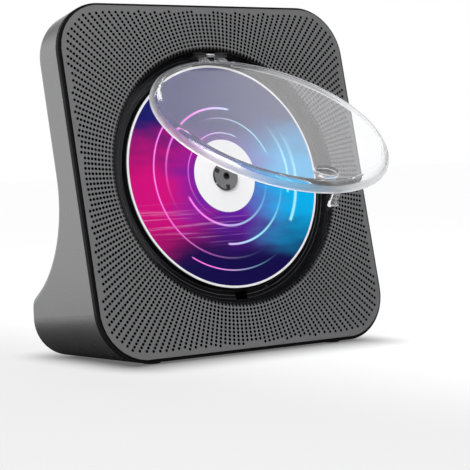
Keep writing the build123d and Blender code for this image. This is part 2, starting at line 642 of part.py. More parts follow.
PLUNGER_TIP = 5.6
with BuildPart() as lid_switch_plunger:
    add(panel_post(*PLUNGER_PLACE, PLUNGER_TIP, 9.8, PLUNGER_R))
    fillet(lid_switch_plunger.edges().sort_by(DISC_AXIS)[-1:], 0.4)
save(lid_switch_plunger.part, "lid_switch_plunger")

# ---------------------------------------------------------------- drive mechanism
ROD_Y = 15.0
ROD_R = 1.5
ROD_DEPTH = 13.4
ROD_ENDS = (7.0, 75.0)
ROD_BLOCK_W = 3.4               # thickness of the blocks that hold the rods
RACK_BAR_W = 2.1
MOTOR_R = 10.0
MOTOR_NECK_R = 3.4
CHASSIS_HOLE = (-14, 24)        # lightening hole, panel x and y
CHASSIS_HOLE_R = 4.5
LENS_START = 24.0
BODY_LONG = 26.0
GEAR_X = 47.0
MODULE = 0.8
GEAR_TEETH = 13
GEAR_R = MODULE * GEAR_TEETH / 2
RACK_Y = 19.0
GEAR_Y = RACK_Y + GEAR_R
FINE_MODULE = 0.5
WHEEL_TEETH = 24
WHEEL_R = FINE_MODULE * WHEEL_TEETH / 2
PINION_TEETH = 10
PINION_R = FINE_MODULE * PINION_TEETH / 2
PINION_ANGLE = 120.0
PINION_X = GEAR_X + (WHEEL_R + PINION_R) * cos(radians(PINION_ANGLE))
PINION_Y = GEAR_Y + (WHEEL_R + PINION_R) * sin(radians(PINION_ANGLE))
RACK_TOP = 12.2
RACK_BACK = 13.8
WHEEL_TOP = 14.2
WHEEL_BACK = 15.4
AXLE_R = 1.0
SLED_MOTOR_R = 7.5
SLED_MOTOR_TOP = 16.0
MOTOR_POSTS = [(PINION_X - 5.5, PINION_Y), (PINION_X, PINION_Y + 5.5)]

with BuildPart() as mechanism_chassis:
    with BuildSketch(layer(CHASSIS_BACK)):
        with Locations((23.2, 7)):
            RectangleRounded(108.6, 66, 4)
        with Locations((42.3, 0)):
            Rectangle(63.4, 2 * ROD_Y + 8, mode=Mode.SUBTRACT)
        Circle(MOTOR_NECK_R + FIT, mode=Mode.SUBTRACT)
        with Locations(CHASSIS_HOLE):
            Circle(CHASSIS_HOLE_R, mode=Mode.SUBTRACT)
        with Locations(GROMMETS):
            Circle(GROMMET_NECK_R + FIT, mode=Mode.SUBTRACT)
    extrude(amount=CHASSIS_T)
    for x in ROD_ENDS:
        for y in (-ROD_Y, ROD_Y):
            add(panel_box(x, y, CHASSIS_TOP, ROD_DEPTH + 2.2, ROD_BLOCK_W, 4.6))
    add(panel_box(ROD_ENDS[1], RACK_Y - 2.0, RACK_TOP - 0.2, RACK_BACK + 0.2,
                  ROD_BLOCK_W + 1, RACK_BAR_W + 0.4), mode=Mode.SUBTRACT)
    for y in (-ROD_Y, ROD_Y):
        with BuildSketch(Plane.YZ.offset(ROD_ENDS[0] - 5)):
            centre = panel_point(0, y, ROD_DEPTH)
            with Locations((centre.Y, centre.Z)):
                Circle(ROD_R)
        extrude(amount=80, mode=Mode.SUBTRACT)
    add(panel_post(GEAR_X, GEAR_Y, CHASSIS_TOP, WHEEL_BACK + 0.6, AXLE_R))
    add(panel_post(GEAR_X, GEAR_Y, CHASSIS_TOP, RACK_TOP - 0.1, AXLE_R + 1.0))
    for place in MOTOR_POSTS:
        add(panel_post(*place, CHASSIS_TOP, SLED_MOTOR_TOP, 1.2))
save(mechanism_chassis.part, "mechanism_chassis")

with BuildPart() as isolation_grommets:
    for place in GROMMETS:
        add(panel_post(*place, DECK_BACK + 0.1, CHASSIS_TOP, GROMMET_R))
        add(panel_post(*place, DECK_BACK + 0.1, GROMMET_END, GROMMET_NECK_R))
        add(panel_post(*place, CHASSIS_BACK, GROMMET_END, GROMMET_R))
    for place in GROMMETS:
        add(panel_post(*place, DECK_BACK, GROMMET_END + 1, GROMMET_POST_R), mode=Mode.SUBTRACT)
save(isolation_grommets.part, "isolation_grommets")

with BuildPart() as mechanism_screws:
    for place in GROMMETS:
        add(panel_screw(*place, GROMMET_END, GROMMET_END - 3.0, 3.0, 0.8, 1.3))
save(mechanism_screws.part, "mechanism_screws")

MOTOR_BACK = 18.0
with BuildPart() as spindle_motor:
    add(panel_post(0, 0, CHASSIS_BACK, MOTOR_BACK, MOTOR_R))
    fillet(spindle_motor.edges().sort_by(DISC_AXIS)[0], 1.0)
    add(panel_post(0, 0, CHASSIS_TOP, CHASSIS_BACK, MOTOR_NECK_R))
    add(panel_post(0, 0, MOTOR_BACK, MOTOR_BACK + 0.8, 2.5))
    add(panel_post(0, 0, CHASSIS_TOP - 1, 17.0, 1.0 + FIT), mode=Mode.SUBTRACT)
save(spindle_motor.part, "spindle_motor")

with BuildPart() as guide_rods:
    for y in (-ROD_Y, ROD_Y):
        with BuildSketch(Plane.YZ.offset(ROD_ENDS[0] - 1.7)):
            centre = panel_point(0, y, ROD_DEPTH)
            with Locations((centre.Y, centre.Z)):
                Circle(ROD_R)
        extrude(amount=ROD_ENDS[1] - ROD_ENDS[0] + 3.4)
save(guide_rods.part, "guide_rods")

with BuildPart() as sled_motor:
    add(panel_post(PINION_X, PINION_Y, SLED_MOTOR_TOP, 19.4, SLED_MOTOR_R))
    fillet(sled_motor.edges().sort_by(DISC_AXIS)[0], 0.8)
    add(panel_post(PINION_X, PINION_Y, SLED_MOTOR_TOP - 1, 18.6, 0.6 + FIT),
        mode=Mode.SUBTRACT)
save(sled_motor.part, "sled_motor")


def toothed_wheel(x, y, top, bottom, module, teeth, phase):
    """Spur wheel with one tooth pointing at the phase angle; teeth run with clearance."""
    pitch_r = module * teeth / 2
    root_r = pitch_r - 1.15 * module
    tip_r = pitch_r + 0.8 * module
    root_half = 0.46 * module * pi / 2
    tip_half = 0.18 * module * pi / 2
    with BuildPart() as wheel:
        with BuildSketch(on_panel(x, y, bottom)):
            Circle(root_r)
            with PolarLocations(0, teeth, start_angle=phase):
                Polygon((root_r - 0.3 * module, -root_half), (tip_r, -tip_half),
                        (tip_r, tip_half), (root_r - 0.3 * module, root_half), align=None)
        extrude(amount=bottom - top)
    return wheel.part


with BuildPart() as sled_gear:
    add(toothed_wheel(GEAR_X, GEAR_Y, RACK_TOP, RACK_BACK, MODULE, GEAR_TEETH, -90))
    add(panel_post(GEAR_X, GEAR_Y, RACK_BACK - 0.2, WHEEL_TOP, 2.4))
    add(toothed_wheel(GEAR_X, GEAR_Y, WHEEL_TOP, WHEEL_BACK, FINE_MODULE, WHEEL_TEETH,
                      PINION_ANGLE))
    add(panel_post(GEAR_X, GEAR_Y, RACK_TOP - 1, WHEEL_BACK + 1, AXLE_R + FIT),
        mode=Mode.SUBTRACT)
save(sled_gear.part, "sled_gear")

with BuildPart() as sled_pinion:
    add(toothed_wheel(PINION_X, PINION_Y, WHEEL_TOP - 0.2, WHEEL_BACK + 0.2, FINE_MODULE,
                      PINION_TEETH, PINION_ANGLE + 180 + 180 / PINION_TEETH))
    add(panel_post(PINION_X, PINION_Y, WHEEL_BACK, 18.4, 0.6))
save(sled_pinion.part, "sled_pinion")

PICKUP_TOP = 11.2
PICKUP_BACK = 16.5
TOWER_TOP = 6.6
with BuildPart() as pickup_body:
    add(panel_box(LENS_START, 0, PICKUP_TOP, PICKUP_BACK, BODY_LONG, 2 * ROD_Y + 5))
    add(panel_box(LENS_START, 0, TOWER_TOP, PICKUP_TOP, 6.0, 10.0))
    add(panel_box(LENS_START, 0, 9.7, PICKUP_TOP, 16.0, 14.0))
    rack_start = LENS_START - BODY_LONG / 2 - 0.3
    rack_end = GEAR_X + 3.4
    add(panel_box(0.5 * (rack_start + rack_end), RACK_Y - 2.0, RACK_TOP, RACK_BACK,
                  rack_end - rack_start, RACK_BAR_W))
    with BuildSketch(layer(RACK_BACK)):
        pitch = MODULE * pi
        first = -int((GEAR_X - rack_start - 1.2) / pitch)
        with Locations([(GEAR_X + (k + 0.5) * pitch, RACK_Y) for k in range(first, 1)]):
            Polygon((-0.24 * pitch, -1.0), (0.24 * pitch, -1.0), (0.1 * pitch, 0.6),
                    (-0.1 * pitch, 0.6), align=None)
    extrude(amount=RACK_BACK - RACK_TOP)
    for y in (-ROD_Y, ROD_Y):
        with BuildSketch(Plane.YZ):
            centre = panel_point(0, y, ROD_DEPTH)
            with Locations((centre.Y, centre.Z)):
                Circle(ROD_R + FIT)
        extrude(amount=100, mode=Mode.SUBTRACT)
    add(panel_post(LENS_START, 0, TOWER_TOP - 1, TOWER_TOP + 1.2, 2.2), mode=Mode.SUBTRACT)
save(pickup_body.part, "pickup_body")

with BuildPart() as objective_lens:
    add(panel_post(LENS_START, 0, TOWER_TOP - 0.1, TOWER_TOP + 1.2, 2.2))
    with Locations(panel_point(LENS_START, 0, TOWER_TOP + 1.9)):
        Sphere(2.6)
    add(panel_post(LENS_START, 0, 0, TOWER_TOP + 1.2, 2.2), mode=Mode.INTERSECT)
save(objective_lens.part, "objective_lens")

# ---------------------------------------------------------------- turntable and disc
TURNTABLE_TOP = DISC_TOP + DISC_T + 0.5
HUB_TOP = 1.6
HUB_R = 7.4
BALL_R = 0.8
BALL_PLACE_R = 6.78
BALL_DEPTH = 2.75
with BuildPart() as turntable:
    add(panel_post(0, 0, TURNTABLE_TOP, 7.0, 13.5))
    add(panel_post(0, 0, 7.0, 8.6, 6.0))
    chamfer(turntable.edges().sort_by(DISC_AXIS)[-1:], 0.2)
    add(panel_post(0, 0, 8.0, 16.8, 1.0))
save(turntable.part, "turntable")

with BuildPart() as turntable_pad:
    add(panel_post(0, 0, DISC_TOP + DISC_T, TURNTABLE_TOP, 13.0, HUB_R))
save(turntable_pad.part, "turntable_pad")

BALL_PLACES = [(BALL_PLACE_R * cos(radians(a)), BALL_PLACE_R * sin(radians(a)))
               for a in (90, 210, 330)]
with BuildPart() as chucking_balls:
    with Locations([panel_point(*place, BALL_DEPTH) for place in BALL_PLACES]):
        Sphere(BALL_R)
save(chucking_balls.part, "chucking_balls")

with BuildPart() as spindle_hub:
    add(panel_post(0, 0, HUB_TOP, TURNTABLE_TOP, HUB_R))
    fillet(spindle_hub.edges().sort_by(DISC_AXIS)[-1:], 0.5)
    add(panel_post(0, 0, HUB_TOP - 1, HUB_TOP + 2.0, 1.7), mode=Mode.SUBTRACT)
    with BuildSketch(layer(HUB_TOP)):
        with PolarLocations(0, 3, start_angle=30):
            with Locations((6.2, 0)):
                Rectangle(3.0, 2.4)
    extrude(amount=-0.5, mode=Mode.SUBTRACT)
    for place in BALL_PLACES:
        add(panel_post(*place, BALL_DEPTH - BALL_R, BALL_DEPTH + BALL_R, BALL_R + 0.02),
            mode=Mode.SUBTRACT)
save(spindle_hub.part, "spindle_hub")

with BuildPart() as compact_disc:
    add(panel_post(0, 0, DISC_TOP, DISC_TOP + DISC_T, DISC_R, DISC_HOLE_R))
save(compact_disc.part, "compact_disc")

# ---------------------------------------------------------------- speakers
MAGNET_TOP = 12.0
MAGNET_BACK = 19.0
MAGNET_R = 12.0
GAP_IN = 4.4
GAP_OUT = 5.9
BASKET_BEND = 6.2
with BuildPart() as speaker_frames:
    for place in SPEAKER_PLACES:
        add(panel_post(*place, BAND, BAND + 1.5, SPEAKER_R))
        add(panel_post(*place, BAND + 1.5, BASKET_BEND, SPEAKER_WINDOW_R + 0.5))
        with BuildSketch(on_panel(*place, BASKET_BEND)):
            Circle(SPEAKER_WINDOW_R + 0.5)
        with BuildSketch(on_panel(*place, MAGNET_TOP)):
            Circle(MAGNET_R)
        loft()
    for place in SPEAKER_PLACES:
        with BuildSketch(on_panel(*place, BASKET_BEND)):
            Circle(SPEAKER_WINDOW_R)
        with BuildSketch(on_panel(*place, MAGNET_TOP - 0.8)):
            Circle(MAGNET_R - 1.4)
        loft(mode=Mode.SUBTRACT)
        add(panel_post(*place, BAND - 1, BASKET_BEND, SPEAKER_WINDOW_R), mode=Mode.SUBTRACT)
        add(panel_post(*place, MAGNET_TOP - 2, MAGNET_TOP + 1, GAP_OUT), mode=Mode.SUBTRACT)
        with BuildSketch(on_panel(*place, MAGNET_TOP - 1.6)):
            with PolarLocations(16.6, 4):
                RectangleRounded(8.0, 12.0, 1.0)
        extrude(amount=4.6, mode=Mode.SUBTRACT)
        with BuildSketch(on_panel(*place, BAND + 1.5)):
            with PolarLocations(SPEAKER_SCREW_R, 4, start_angle=45):
                Circle(0.9)
        extrude(amount=1.5, mode=Mode.SUBTRACT)
save(speaker_frames.part, "speaker_frames")

with BuildPart() as speaker_magnets:
    for place in SPEAKER_PLACES:
        add(panel_post(*place, MAGNET_TOP, MAGNET_BACK, MAGNET_R))
        add(panel_post(*place, MAGNET_TOP, MAGNET_BACK - 2, GAP_OUT, GAP_IN),
            mode=Mode.SUBTRACT)
save(speaker_magnets.part, "speaker_magnets")

CONE_EDGE = 4.2
for place, cone_name in zip(SPEAKER_PLACES, ("speaker_cone_left", "speaker_cone_right")):
    cone_section = Plane(origin=panel_point(*place, 0), x_dir=(1, 0, 0),
                         z_dir=(0, -LEAN_SIN, -LEAN_COS))
    with BuildPart() as speaker_cone:
        with BuildSketch(cone_section):
            with BuildLine():
                Polyline((0, -6.3), (3.4, -6.7), (5.6, -7.9), (12.9, -4.9), (13.4, -4.2),
                         (14.7, -3.7), (15.9, -4.2), (CONE_R, -CONE_EDGE),
                         (CONE_R, -CONE_EDGE - 0.5), (15.7, -4.8), (14.7, -4.3),
                         (13.7, -4.8), (13.1, -5.5), (5.45, -8.7), (5.45, -14.4),
                         (4.85, -14.4), (4.85, -8.2), (3.2, -7.2), (0, -6.8), (0, -6.3))
            make_face()
        revolve(axis=Axis(panel_point(*place, 0), OUTWARD))
    save(speaker_cone.part, cone_name)

with BuildPart() as speaker_screws:
    for place in SPEAKER_PLACES:
        for angle in (45, 135, 225, 315):
            add(panel_screw(place[0] + SPEAKER_SCREW_R * cos(radians(angle)),
                            place[1] + SPEAKER_SCREW_R * sin(radians(angle)),
                            BAND + 1.5, BAND - 1.1, 1.4, 0.7, 1.0))
save(speaker_screws.part, "speaker_screws")


# ---------------------------------------------------------------- boards, battery and ports
def block(xs, ys, zs):
    """Box between two world corners, each range given low to high."""
    with BuildPart() as box:
        with Locations(((xs[0] + xs[1]) / 2, (ys[0] + ys[1]) / 2, (zs[0] + zs[1]) / 2)):
            Box(xs[1] - xs[0], ys[1] - ys[0], zs[1] - zs[0])
    return box.part


def plain_screw(plane, seat, head_r, shank_r, head_h, length):
    """Pan-head screw pointing against the plane's normal, head seated at an offset."""
    with BuildPart() as screw:
        with BuildSketch(plane.offset(seat)):
            Circle(head_r)
        extrude(amount=head_h)
        with BuildSketch(plane.offset(seat)):
            Circle(shank_r)
        extrude(amount=-length)
        with BuildSketch(plane.offset(seat + head_h)):
            Rectangle(head_r * 1.1, head_r * 0.24)
            Rectangle(head_r * 0.24, head_r * 1.1)
        extrude(amount=-head_h * 0.5, mode=Mode.SUBTRACT)
    return screw.part


with BuildPart() as main_board:
    add(block((-55, 55), BOARD_Y, (BOARD_Z, BOARD_TOP)))
    with BuildSketch(UNDER.offset(BOARD_TOP - FEET_H)):
        with Locations(BOARD_POSTS):
            Circle(M2_R + 0.2)
    extrude(amount=-BOARD_T, mode=Mode.SUBTRACT)
save(main_board.part, "main_board")

with BuildPart() as board_components:
    add(block((0, 9), (12.5, 21.5), (BOARD_TOP, BOARD_TOP + 1.0)))
    add(block((12, 19), (13, 20), (BOARD_TOP, BOARD_TOP + 1.2)))
    add(block((22, 30), (12.5, 18.5), (BOARD_TOP, BOARD_TOP + 3.0)))
    add(block((-18, -4), (14.0, 18.2), (BOARD_TOP, BOARD_TOP + 1.9)))
    for x in (35.0, 42.5):
        with BuildSketch(UNDER.offset(BOARD_TOP - FEET_H)):
            with Locations((x, 20)):
                Circle(3.1)
        extrude(amount=7.0)
save(board_components.part, "board_components")

PORT_FACE = BACK_Y - 0.5
with BuildPart() as usb_port:
    add(block((USB_A_X - 6.55, USB_A_X + 6.55), (PORT_FACE - 13.9, PORT_FACE),
              (BOARD_TOP, BOARD_TOP + 6.4)))
    add(block((USB_A_X - 6.15, USB_A_X + 6.15), (PORT_FACE - 10.5, PORT_FACE + 1),
              (BOARD_TOP + 0.5, BOARD_TOP + 5.6)), mode=Mode.SUBTRACT)
    add(block((USB_A_X - 5.6, USB_A_X + 5.6), (PORT_FACE - 10.6, PORT_FACE - 1.4),
              (BOARD_TOP + 3.4, BOARD_TOP + 5.0)))
save(usb_port.part, "usb_port")

with BuildPart() as usb_c_socket:
    with BuildSketch(Plane(origin=(USB_C_X, PORT_FACE - 7.2, BOARD_TOP + 1.64),
                           x_dir=(1, 0, 0), z_dir=(0, 1, 0))):
        RectangleRounded(8.94, 3.26, 1.4)
    extrude(amount=7.2)
    with BuildSketch(Plane(origin=(USB_C_X, PORT_FACE, BOARD_TOP + 1.64),
                           x_dir=(1, 0, 0), z_dir=(0, 1, 0))):
        RectangleRounded(8.34, 2.56, 1.2)
        Rectangle(6.6, 0.7, mode=Mode.SUBTRACT)
    extrude(amount=-6.2, mode=Mode.SUBTRACT)
    add(block((USB_C_X - 4.0, USB_C_X + 4.0), (PORT_FACE - 7.0, PORT_FACE - 2.0),
              (BOARD_TOP, BOARD_TOP + 0.4)))
save(usb_c_socket.part, "usb_c_socket")

JACK_Z = BOARD_TOP + 2.9
JACK_BORE_R = 1.8
JACK_DEEP = 12.5
with BuildPart() as audio_jacks:
    for x in JACK_X:
        add(block((x - 3.1, x + 3.1), (PORT_FACE - 14.0, BACK_Y - WALL - 1.2),
                  (BOARD_TOP, BOARD_TOP + 5.4)))
        with BuildSketch(Plane(origin=(x, PORT_FACE, JACK_Z), x_dir=(1, 0, 0),
                               z_dir=(0, 1, 0))):
            Circle(2.6)
        extrude(amount=-4.0)
        with BuildSketch(Plane(origin=(x, PORT_FACE, JACK_Z), x_dir=(1, 0, 0),
                               z_dir=(0, 1, 0))):
            Circle(JACK_BORE_R)
        extrude(amount=-JACK_DEEP, mode=Mode.SUBTRACT)
save(audio_jacks.part, "audio_jacks")

SWITCH_Z = BOARD_TOP + 1.9
with BuildPart() as power_switch_body:
    add(block((SWITCH_X - 4.6, SWITCH_X + 4.6), (BACK_Y - 7.2, BACK_Y - WALL - 1.2),
              (BOARD_TOP, BOARD_TOP + 3.8)))
    add(block((SWITCH_X - 3.6, SWITCH_X + 3.6), (BACK_Y - 6.4, BACK_Y - WALL - 1.1),
              (SWITCH_Z - 1.2, SWITCH_Z + 1.2)), mode=Mode.SUBTRACT)
save(power_switch_body.part, "power_switch_body")

with BuildPart() as power_switch_slider:
    add(block((SWITCH_X - 3.3, SWITCH_X + 0.3), (BACK_Y - 6.2, BACK_Y - WALL - 1.6),
              (SWITCH_Z - 1.0, SWITCH_Z + 1.0)))
    add(block((SWITCH_X - 2.6, SWITCH_X - 0.4), (BACK_Y - WALL - 1.7, BACK_Y + 0.9),
              (SWITCH_Z - 0.9, SWITCH_Z + 0.9)))
save(power_switch_slider.part, "power_switch_slider")

with BuildPart() as rear_port_panel:
    with BuildSketch(REAR.offset(-0.2)):
        RectangleRounded(PORT_W - 0.3, PORT_H - 0.3, 1.85)
    extrude(amount=-WALL + 0.2)
    with BuildSketch(REAR.offset(-WALL)):
        RectangleRounded(PORT_W + 5, PORT_H + 4, 2.5)
    extrude(amount=-1.0)
    for xs, zs in (((USB_A_X - 6.8, USB_A_X + 6.8), (BOARD_TOP - 0.25, BOARD_TOP + 6.65)),
                   ((USB_C_X - 4.7, USB_C_X + 4.7), (BOARD_TOP - 0.25, BOARD_TOP + 3.5)),
                   ((SWITCH_X - 2.9, SWITCH_X + 2.9), (SWITCH_Z - 1.2, SWITCH_Z + 1.2))):
        add(block(xs, (BACK_Y - WALL - 2, BACK_Y + 1), zs), mode=Mode.SUBTRACT)
    with BuildSketch(REAR.offset(1)):
        with Locations([(-x, JACK_Z - PORT_Z) for x in JACK_X]):
            Circle(2.8)
    extrude(amount=-WALL - 3, mode=Mode.SUBTRACT)
save(rear_port_panel.part, "rear_port_panel")

CELL_R = 9.2
CELL_HALF = 32.5
CELL_Y = -1.75
HOLDER_BASE = 1.6
CELL_Z = INNER_FLOOR + HOLDER_BASE + CELL_R + 0.1
with BuildPart() as battery_cell:
    with BuildSketch(Plane.YZ.offset(-CELL_HALF)):
        with Locations((CELL_Y, CELL_Z)):
            Circle(CELL_R)
    extrude(amount=2 * CELL_HALF)
    fillet(battery_cell.edges(), 0.8)
    with BuildSketch(Plane.YZ.offset(CELL_HALF)):
        with Locations((CELL_Y, CELL_Z)):
            Circle(2.8)
    extrude(amount=0.8)
save(battery_cell.part, "battery_cell")

with BuildPart() as battery_holder:
    add(block((-59, 59), (CELL_Y - 10.4, CELL_Y + 10.4), (INNER_FLOOR, INNER_FLOOR + HOLDER_BASE)))
    for side in (-1, 1):
        add(block((-35.4, 35.4), tuple(sorted((CELL_Y + side * 9.5, CELL_Y + side * 10.4))),
                  (INNER_FLOOR, CELL_Z - 1)))
        add(block(tuple(sorted((side * 34.2, side * 35.4))), (CELL_Y - 10.4, CELL_Y + 10.4),
                  (INNER_FLOOR, CELL_Z + 4)))
    with BuildSketch(UNDER.offset(WALL)):
        with Locations(HOLDER_SCREWS):
            Circle(M2_R + 0.2)
    extrude(amount=HOLDER_BASE + 1, mode=Mode.SUBTRACT)
save(battery_holder.part, "battery_holder")

KEYS = BUTTON_PLANE.offset(KEYS_BOARD_TOP)
with BuildPart() as button_board:
    with BuildSketch(KEYS):
        Rectangle(104, 13)
        with Locations((-KEYS_POST_X, 0), (KEYS_POST_X, 0)):
            Circle(M2_R + 0.2, mode=Mode.SUBTRACT)
    extrude(amount=-KEYS_BOARD_T)
save(button_board.part, "button_board")

with BuildPart() as tact_switches:
    with BuildSketch(KEYS):
        with Locations([(x, 0) for x in BUTTON_X]):
            Rectangle(6, 6)
    extrude(amount=1.6)
    with BuildSketch(KEYS.offset(1.6)):
        with Locations([(x, 0) for x in BUTTON_X]):
            Circle(1.7)
    extrude(amount=KEYS_SWITCH_TOP - KEYS_BOARD_TOP - 1.6)
save(tact_switches.part, "tact_switches")

for x, button_name in zip(BUTTON_X, BUTTON_NAMES):
    with BuildPart() as button:
        with BuildSketch(BUTTON_PLANE.offset(-3.75)):
            with Locations((x, 0)):
                Circle(BUTTON_R + 0.8)
        extrude(amount=1.1)
        with BuildSketch(BUTTON_PLANE.offset(-3.75)):
            with Locations((x, 0)):
                Circle(BUTTON_R)
        extrude(amount=4.65)
        chamfer(button.edges().sort_by(Axis((0, 0, 0), (0, LEAN_SIN, LEAN_COS)))[-1], 0.4)
    save(button.part, button_name)

with BuildPart() as ir_receiver:
    ir_back = BUTTON_DEPTH - 13 / 2 + 2.2
    ir_top = TOP_H + KEYS_BOARD_TOP - KEYS_BOARD_T
    add(panel_box(IR_X, ir_top - 3.0, 4.4, ir_back, 6.0, 6.0))
    with BuildSketch(on_panel(IR_X, IR_Y, 4.4)):
        Circle(2.1)
    extrude(amount=1.2, taper=20)
save(ir_receiver.part, "ir_receiver")

# ---------------------------------------------------------------- ribbon cable
RIBBON_X = (-17.0, -5.0)
RIBBON_T = 0.5
ribbon_top = panel_point(0, -12, CHASSIS_BACK + 0.3)
ribbon_out = panel_point(0, -21, CHASSIS_BACK + 2.6)
with BuildPart() as ribbon_cable:
    with BuildLine() as ribbon_path:
        Spline((0, ribbon_top.Y, ribbon_top.Z), (0, ribbon_out.Y, ribbon_out.Z),
               (0, 3.0, 46.0), (0, 13.0, 30.0), (0, 16.1, BOARD_TOP + 2.0))
    with BuildSketch(Plane(origin=ribbon_path.line @ 0, x_dir=(1, 0, 0),
                           z_dir=ribbon_path.line % 0)):
        with Locations((0.5 * (RIBBON_X[0] + RIBBON_X[1]), 0)):
            Rectangle(RIBBON_X[1] - RIBBON_X[0], RIBBON_T)
    sweep()
save(ribbon_cable.part, "ribbon_cable")

# ---------------------------------------------------------------- underside
VENT_X = (12.0, 18.0, 24.0)
with BuildPart() as bottom_cover:
    with BuildSketch(UNDER):
        RectangleRounded(COVER_W, COVER_D, 3.0)
        with Locations(COVER_SCREWS):
            Circle(1.5, mode=Mode.SUBTRACT)
    extrude(amount=COVER_T)
    with BuildSketch(UNDER):
        with Locations(COVER_SCREWS):
            Circle(2.3)
    extrude(amount=1.0, mode=Mode.SUBTRACT)
    with BuildSketch(UNDER):
        with Locations([(side * x, 0) for x in VENT_X for side in (-1, 1)]):
            RectangleRounded(2.0, 16.0, 0.99)
    extrude(amount=COVER_T, mode=Mode.SUBTRACT)
save(bottom_cover.part, "bottom_cover")

with BuildPart() as cover_screws:
    for x, y in COVER_SCREWS:
        add(plain_screw(Plane(origin=(x, y, FEET_H), x_dir=(1, 0, 0), z_dir=(0, 0, -1)),
                        -1.0, 2.1, 1.2, 0.9, 3.8))
save(cover_screws.part, "cover_screws")

FEET_X = 58.0
FEET_Y = 28.0
FEET_R = 4.6
with BuildPart() as rubber_feet:
    with BuildSketch(Plane.XY):
        with Locations([(x, y) for x in (-FEET_X, FEET_X) for y in (-FEET_Y, FEET_Y)] + [(0, 0)]):
            Circle(FEET_R)
    extrude(amount=FEET_H)
    fillet(rubber_feet.edges().group_by(Axis.Z)[0], 0.3)
save(rubber_feet.part, "rubber_feet")

with BuildPart() as housing_screws:
    for place in CASE_SCREWS:
        add(panel_screw(*place, SLAB_T - 1.4, 4.0, 2.8, 1.25, 1.2))
save(housing_screws.part, "housing_screws")

with BuildPart() as m2_screws:
    for place in DECK_TABS:
        add(panel_screw(*place, DECK_TAB_TOP + DECK_T, DECK_TAB_TOP - M2_TIP + 0.2,
                        M2_HEAD_R, M2_R, M2_HEAD_H))
    for place in LATCH_SCREWS:
        add(panel_screw(*place, LATCH_TOP + 1.5, LATCH_TOP - 2.0, M2_HEAD_R, M2_R, M2_HEAD_H))
    for x, y in BOARD_POSTS:
        add(plain_screw(Plane(origin=(x, y, BOARD_TOP), x_dir=(1, 0, 0), z_dir=(0, 0, 1)),
                        0, M2_HEAD_R, M2_R, M2_HEAD_H, BOARD_T + M2_TIP))
    for x, y in HOLDER_SCREWS:
        add(plain_screw(Plane(origin=(x, y, INNER_FLOOR + HOLDER_BASE), x_dir=(1, 0, 0),
                              z_dir=(0, 0, 1)), 0, M2_HEAD_R, M2_R, M2_HEAD_H,
                        HOLDER_BASE + 1.7))
    for x in (-KEYS_POST_X, KEYS_POST_X):
        under_keys = Plane(origin=KEYS.from_local_coords(Vector(x, 0, -KEYS_BOARD_T)),
                           x_dir=(1, 0, 0), z_dir=(0, -LEAN_SIN, -LEAN_COS))
        add(plain_screw(under_keys, 0, M2_HEAD_R, M2_R, M2_HEAD_H, KEYS_BOARD_T + M2_TIP))
save(m2_screws.part, "m2_screws")
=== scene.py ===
"""Disc player with a raised clear lid: perforated front, finishes and studio stage."""
import json
from math import atan2, copysign, cos, pi, radians, sin

import bmesh
import bpy
from bpy.props import FloatProperty, FloatVectorProperty, IntProperty, PointerProperty
from mathutils import Matrix, Vector


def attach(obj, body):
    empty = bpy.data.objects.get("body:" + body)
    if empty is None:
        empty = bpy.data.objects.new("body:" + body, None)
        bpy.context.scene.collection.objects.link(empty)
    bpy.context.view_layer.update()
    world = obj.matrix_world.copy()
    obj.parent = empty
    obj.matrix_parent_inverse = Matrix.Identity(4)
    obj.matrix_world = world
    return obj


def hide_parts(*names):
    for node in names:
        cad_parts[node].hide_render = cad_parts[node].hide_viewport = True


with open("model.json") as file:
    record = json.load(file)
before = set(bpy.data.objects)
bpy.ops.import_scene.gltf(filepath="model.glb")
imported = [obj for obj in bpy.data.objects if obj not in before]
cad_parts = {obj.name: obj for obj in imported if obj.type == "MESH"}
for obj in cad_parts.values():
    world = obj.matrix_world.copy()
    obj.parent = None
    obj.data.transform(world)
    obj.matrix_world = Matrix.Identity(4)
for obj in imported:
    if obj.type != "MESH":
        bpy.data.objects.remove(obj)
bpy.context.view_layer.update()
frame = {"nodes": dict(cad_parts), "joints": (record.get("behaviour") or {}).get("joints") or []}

bl_info = {
    "name": "Disc Player Finish",
    "version": (1, 0, 0),
    "blender": (4, 5, 0),
    "location": "View3D > Sidebar > Disc Player",
    "description": "Dresses the disc player and sets up its studio",
    "category": "Object",
}

MM = 0.001
DISC_DEPTH = 3.2 * MM                     # the disc's printed face, behind the grille's face
HINGE_REACH = 65.6 * MM                   # from the hinge axis to the lid's centre
LID_FACE = 0.1 * MM                       # height of the lid's face above the hinge axis


def joint(name):
    """What the frame says of a joint."""
    return next(j for j in frame["joints"] if j["name"] == name)


OUTWARD = Vector(joint("disc_spin")["axis"])          # straight out of the leaning panel
PANEL_ORIGIN = Vector(joint("disc_spin")["pos_m"]) + OUTWARD * DISC_DEPTH
PANEL_TURN = atan2(-OUTWARD.y, OUTWARD.z)             # about X, takes Z to OUTWARD
LID_TURN = PANEL_TURN - radians(joint("lid_hinge")["range_deg"][1])
LID_CENTRE = (Vector(joint("lid_hinge")["pos_m"])
              + Matrix.Rotation(LID_TURN, 3, "X") @ Vector((0, -HINGE_REACH, LID_FACE)))


# ---------------------------------------------------------------- settings

def length(name, description, default):
    return FloatProperty(name=name, description=description, default=default, min=0,
                         unit="LENGTH", subtype="DISTANCE", precision=5)


def colour(name, description, default):
    return FloatVectorProperty(name=name, description=description, default=default,
                               size=3, min=0, max=1, subtype="COLOR")


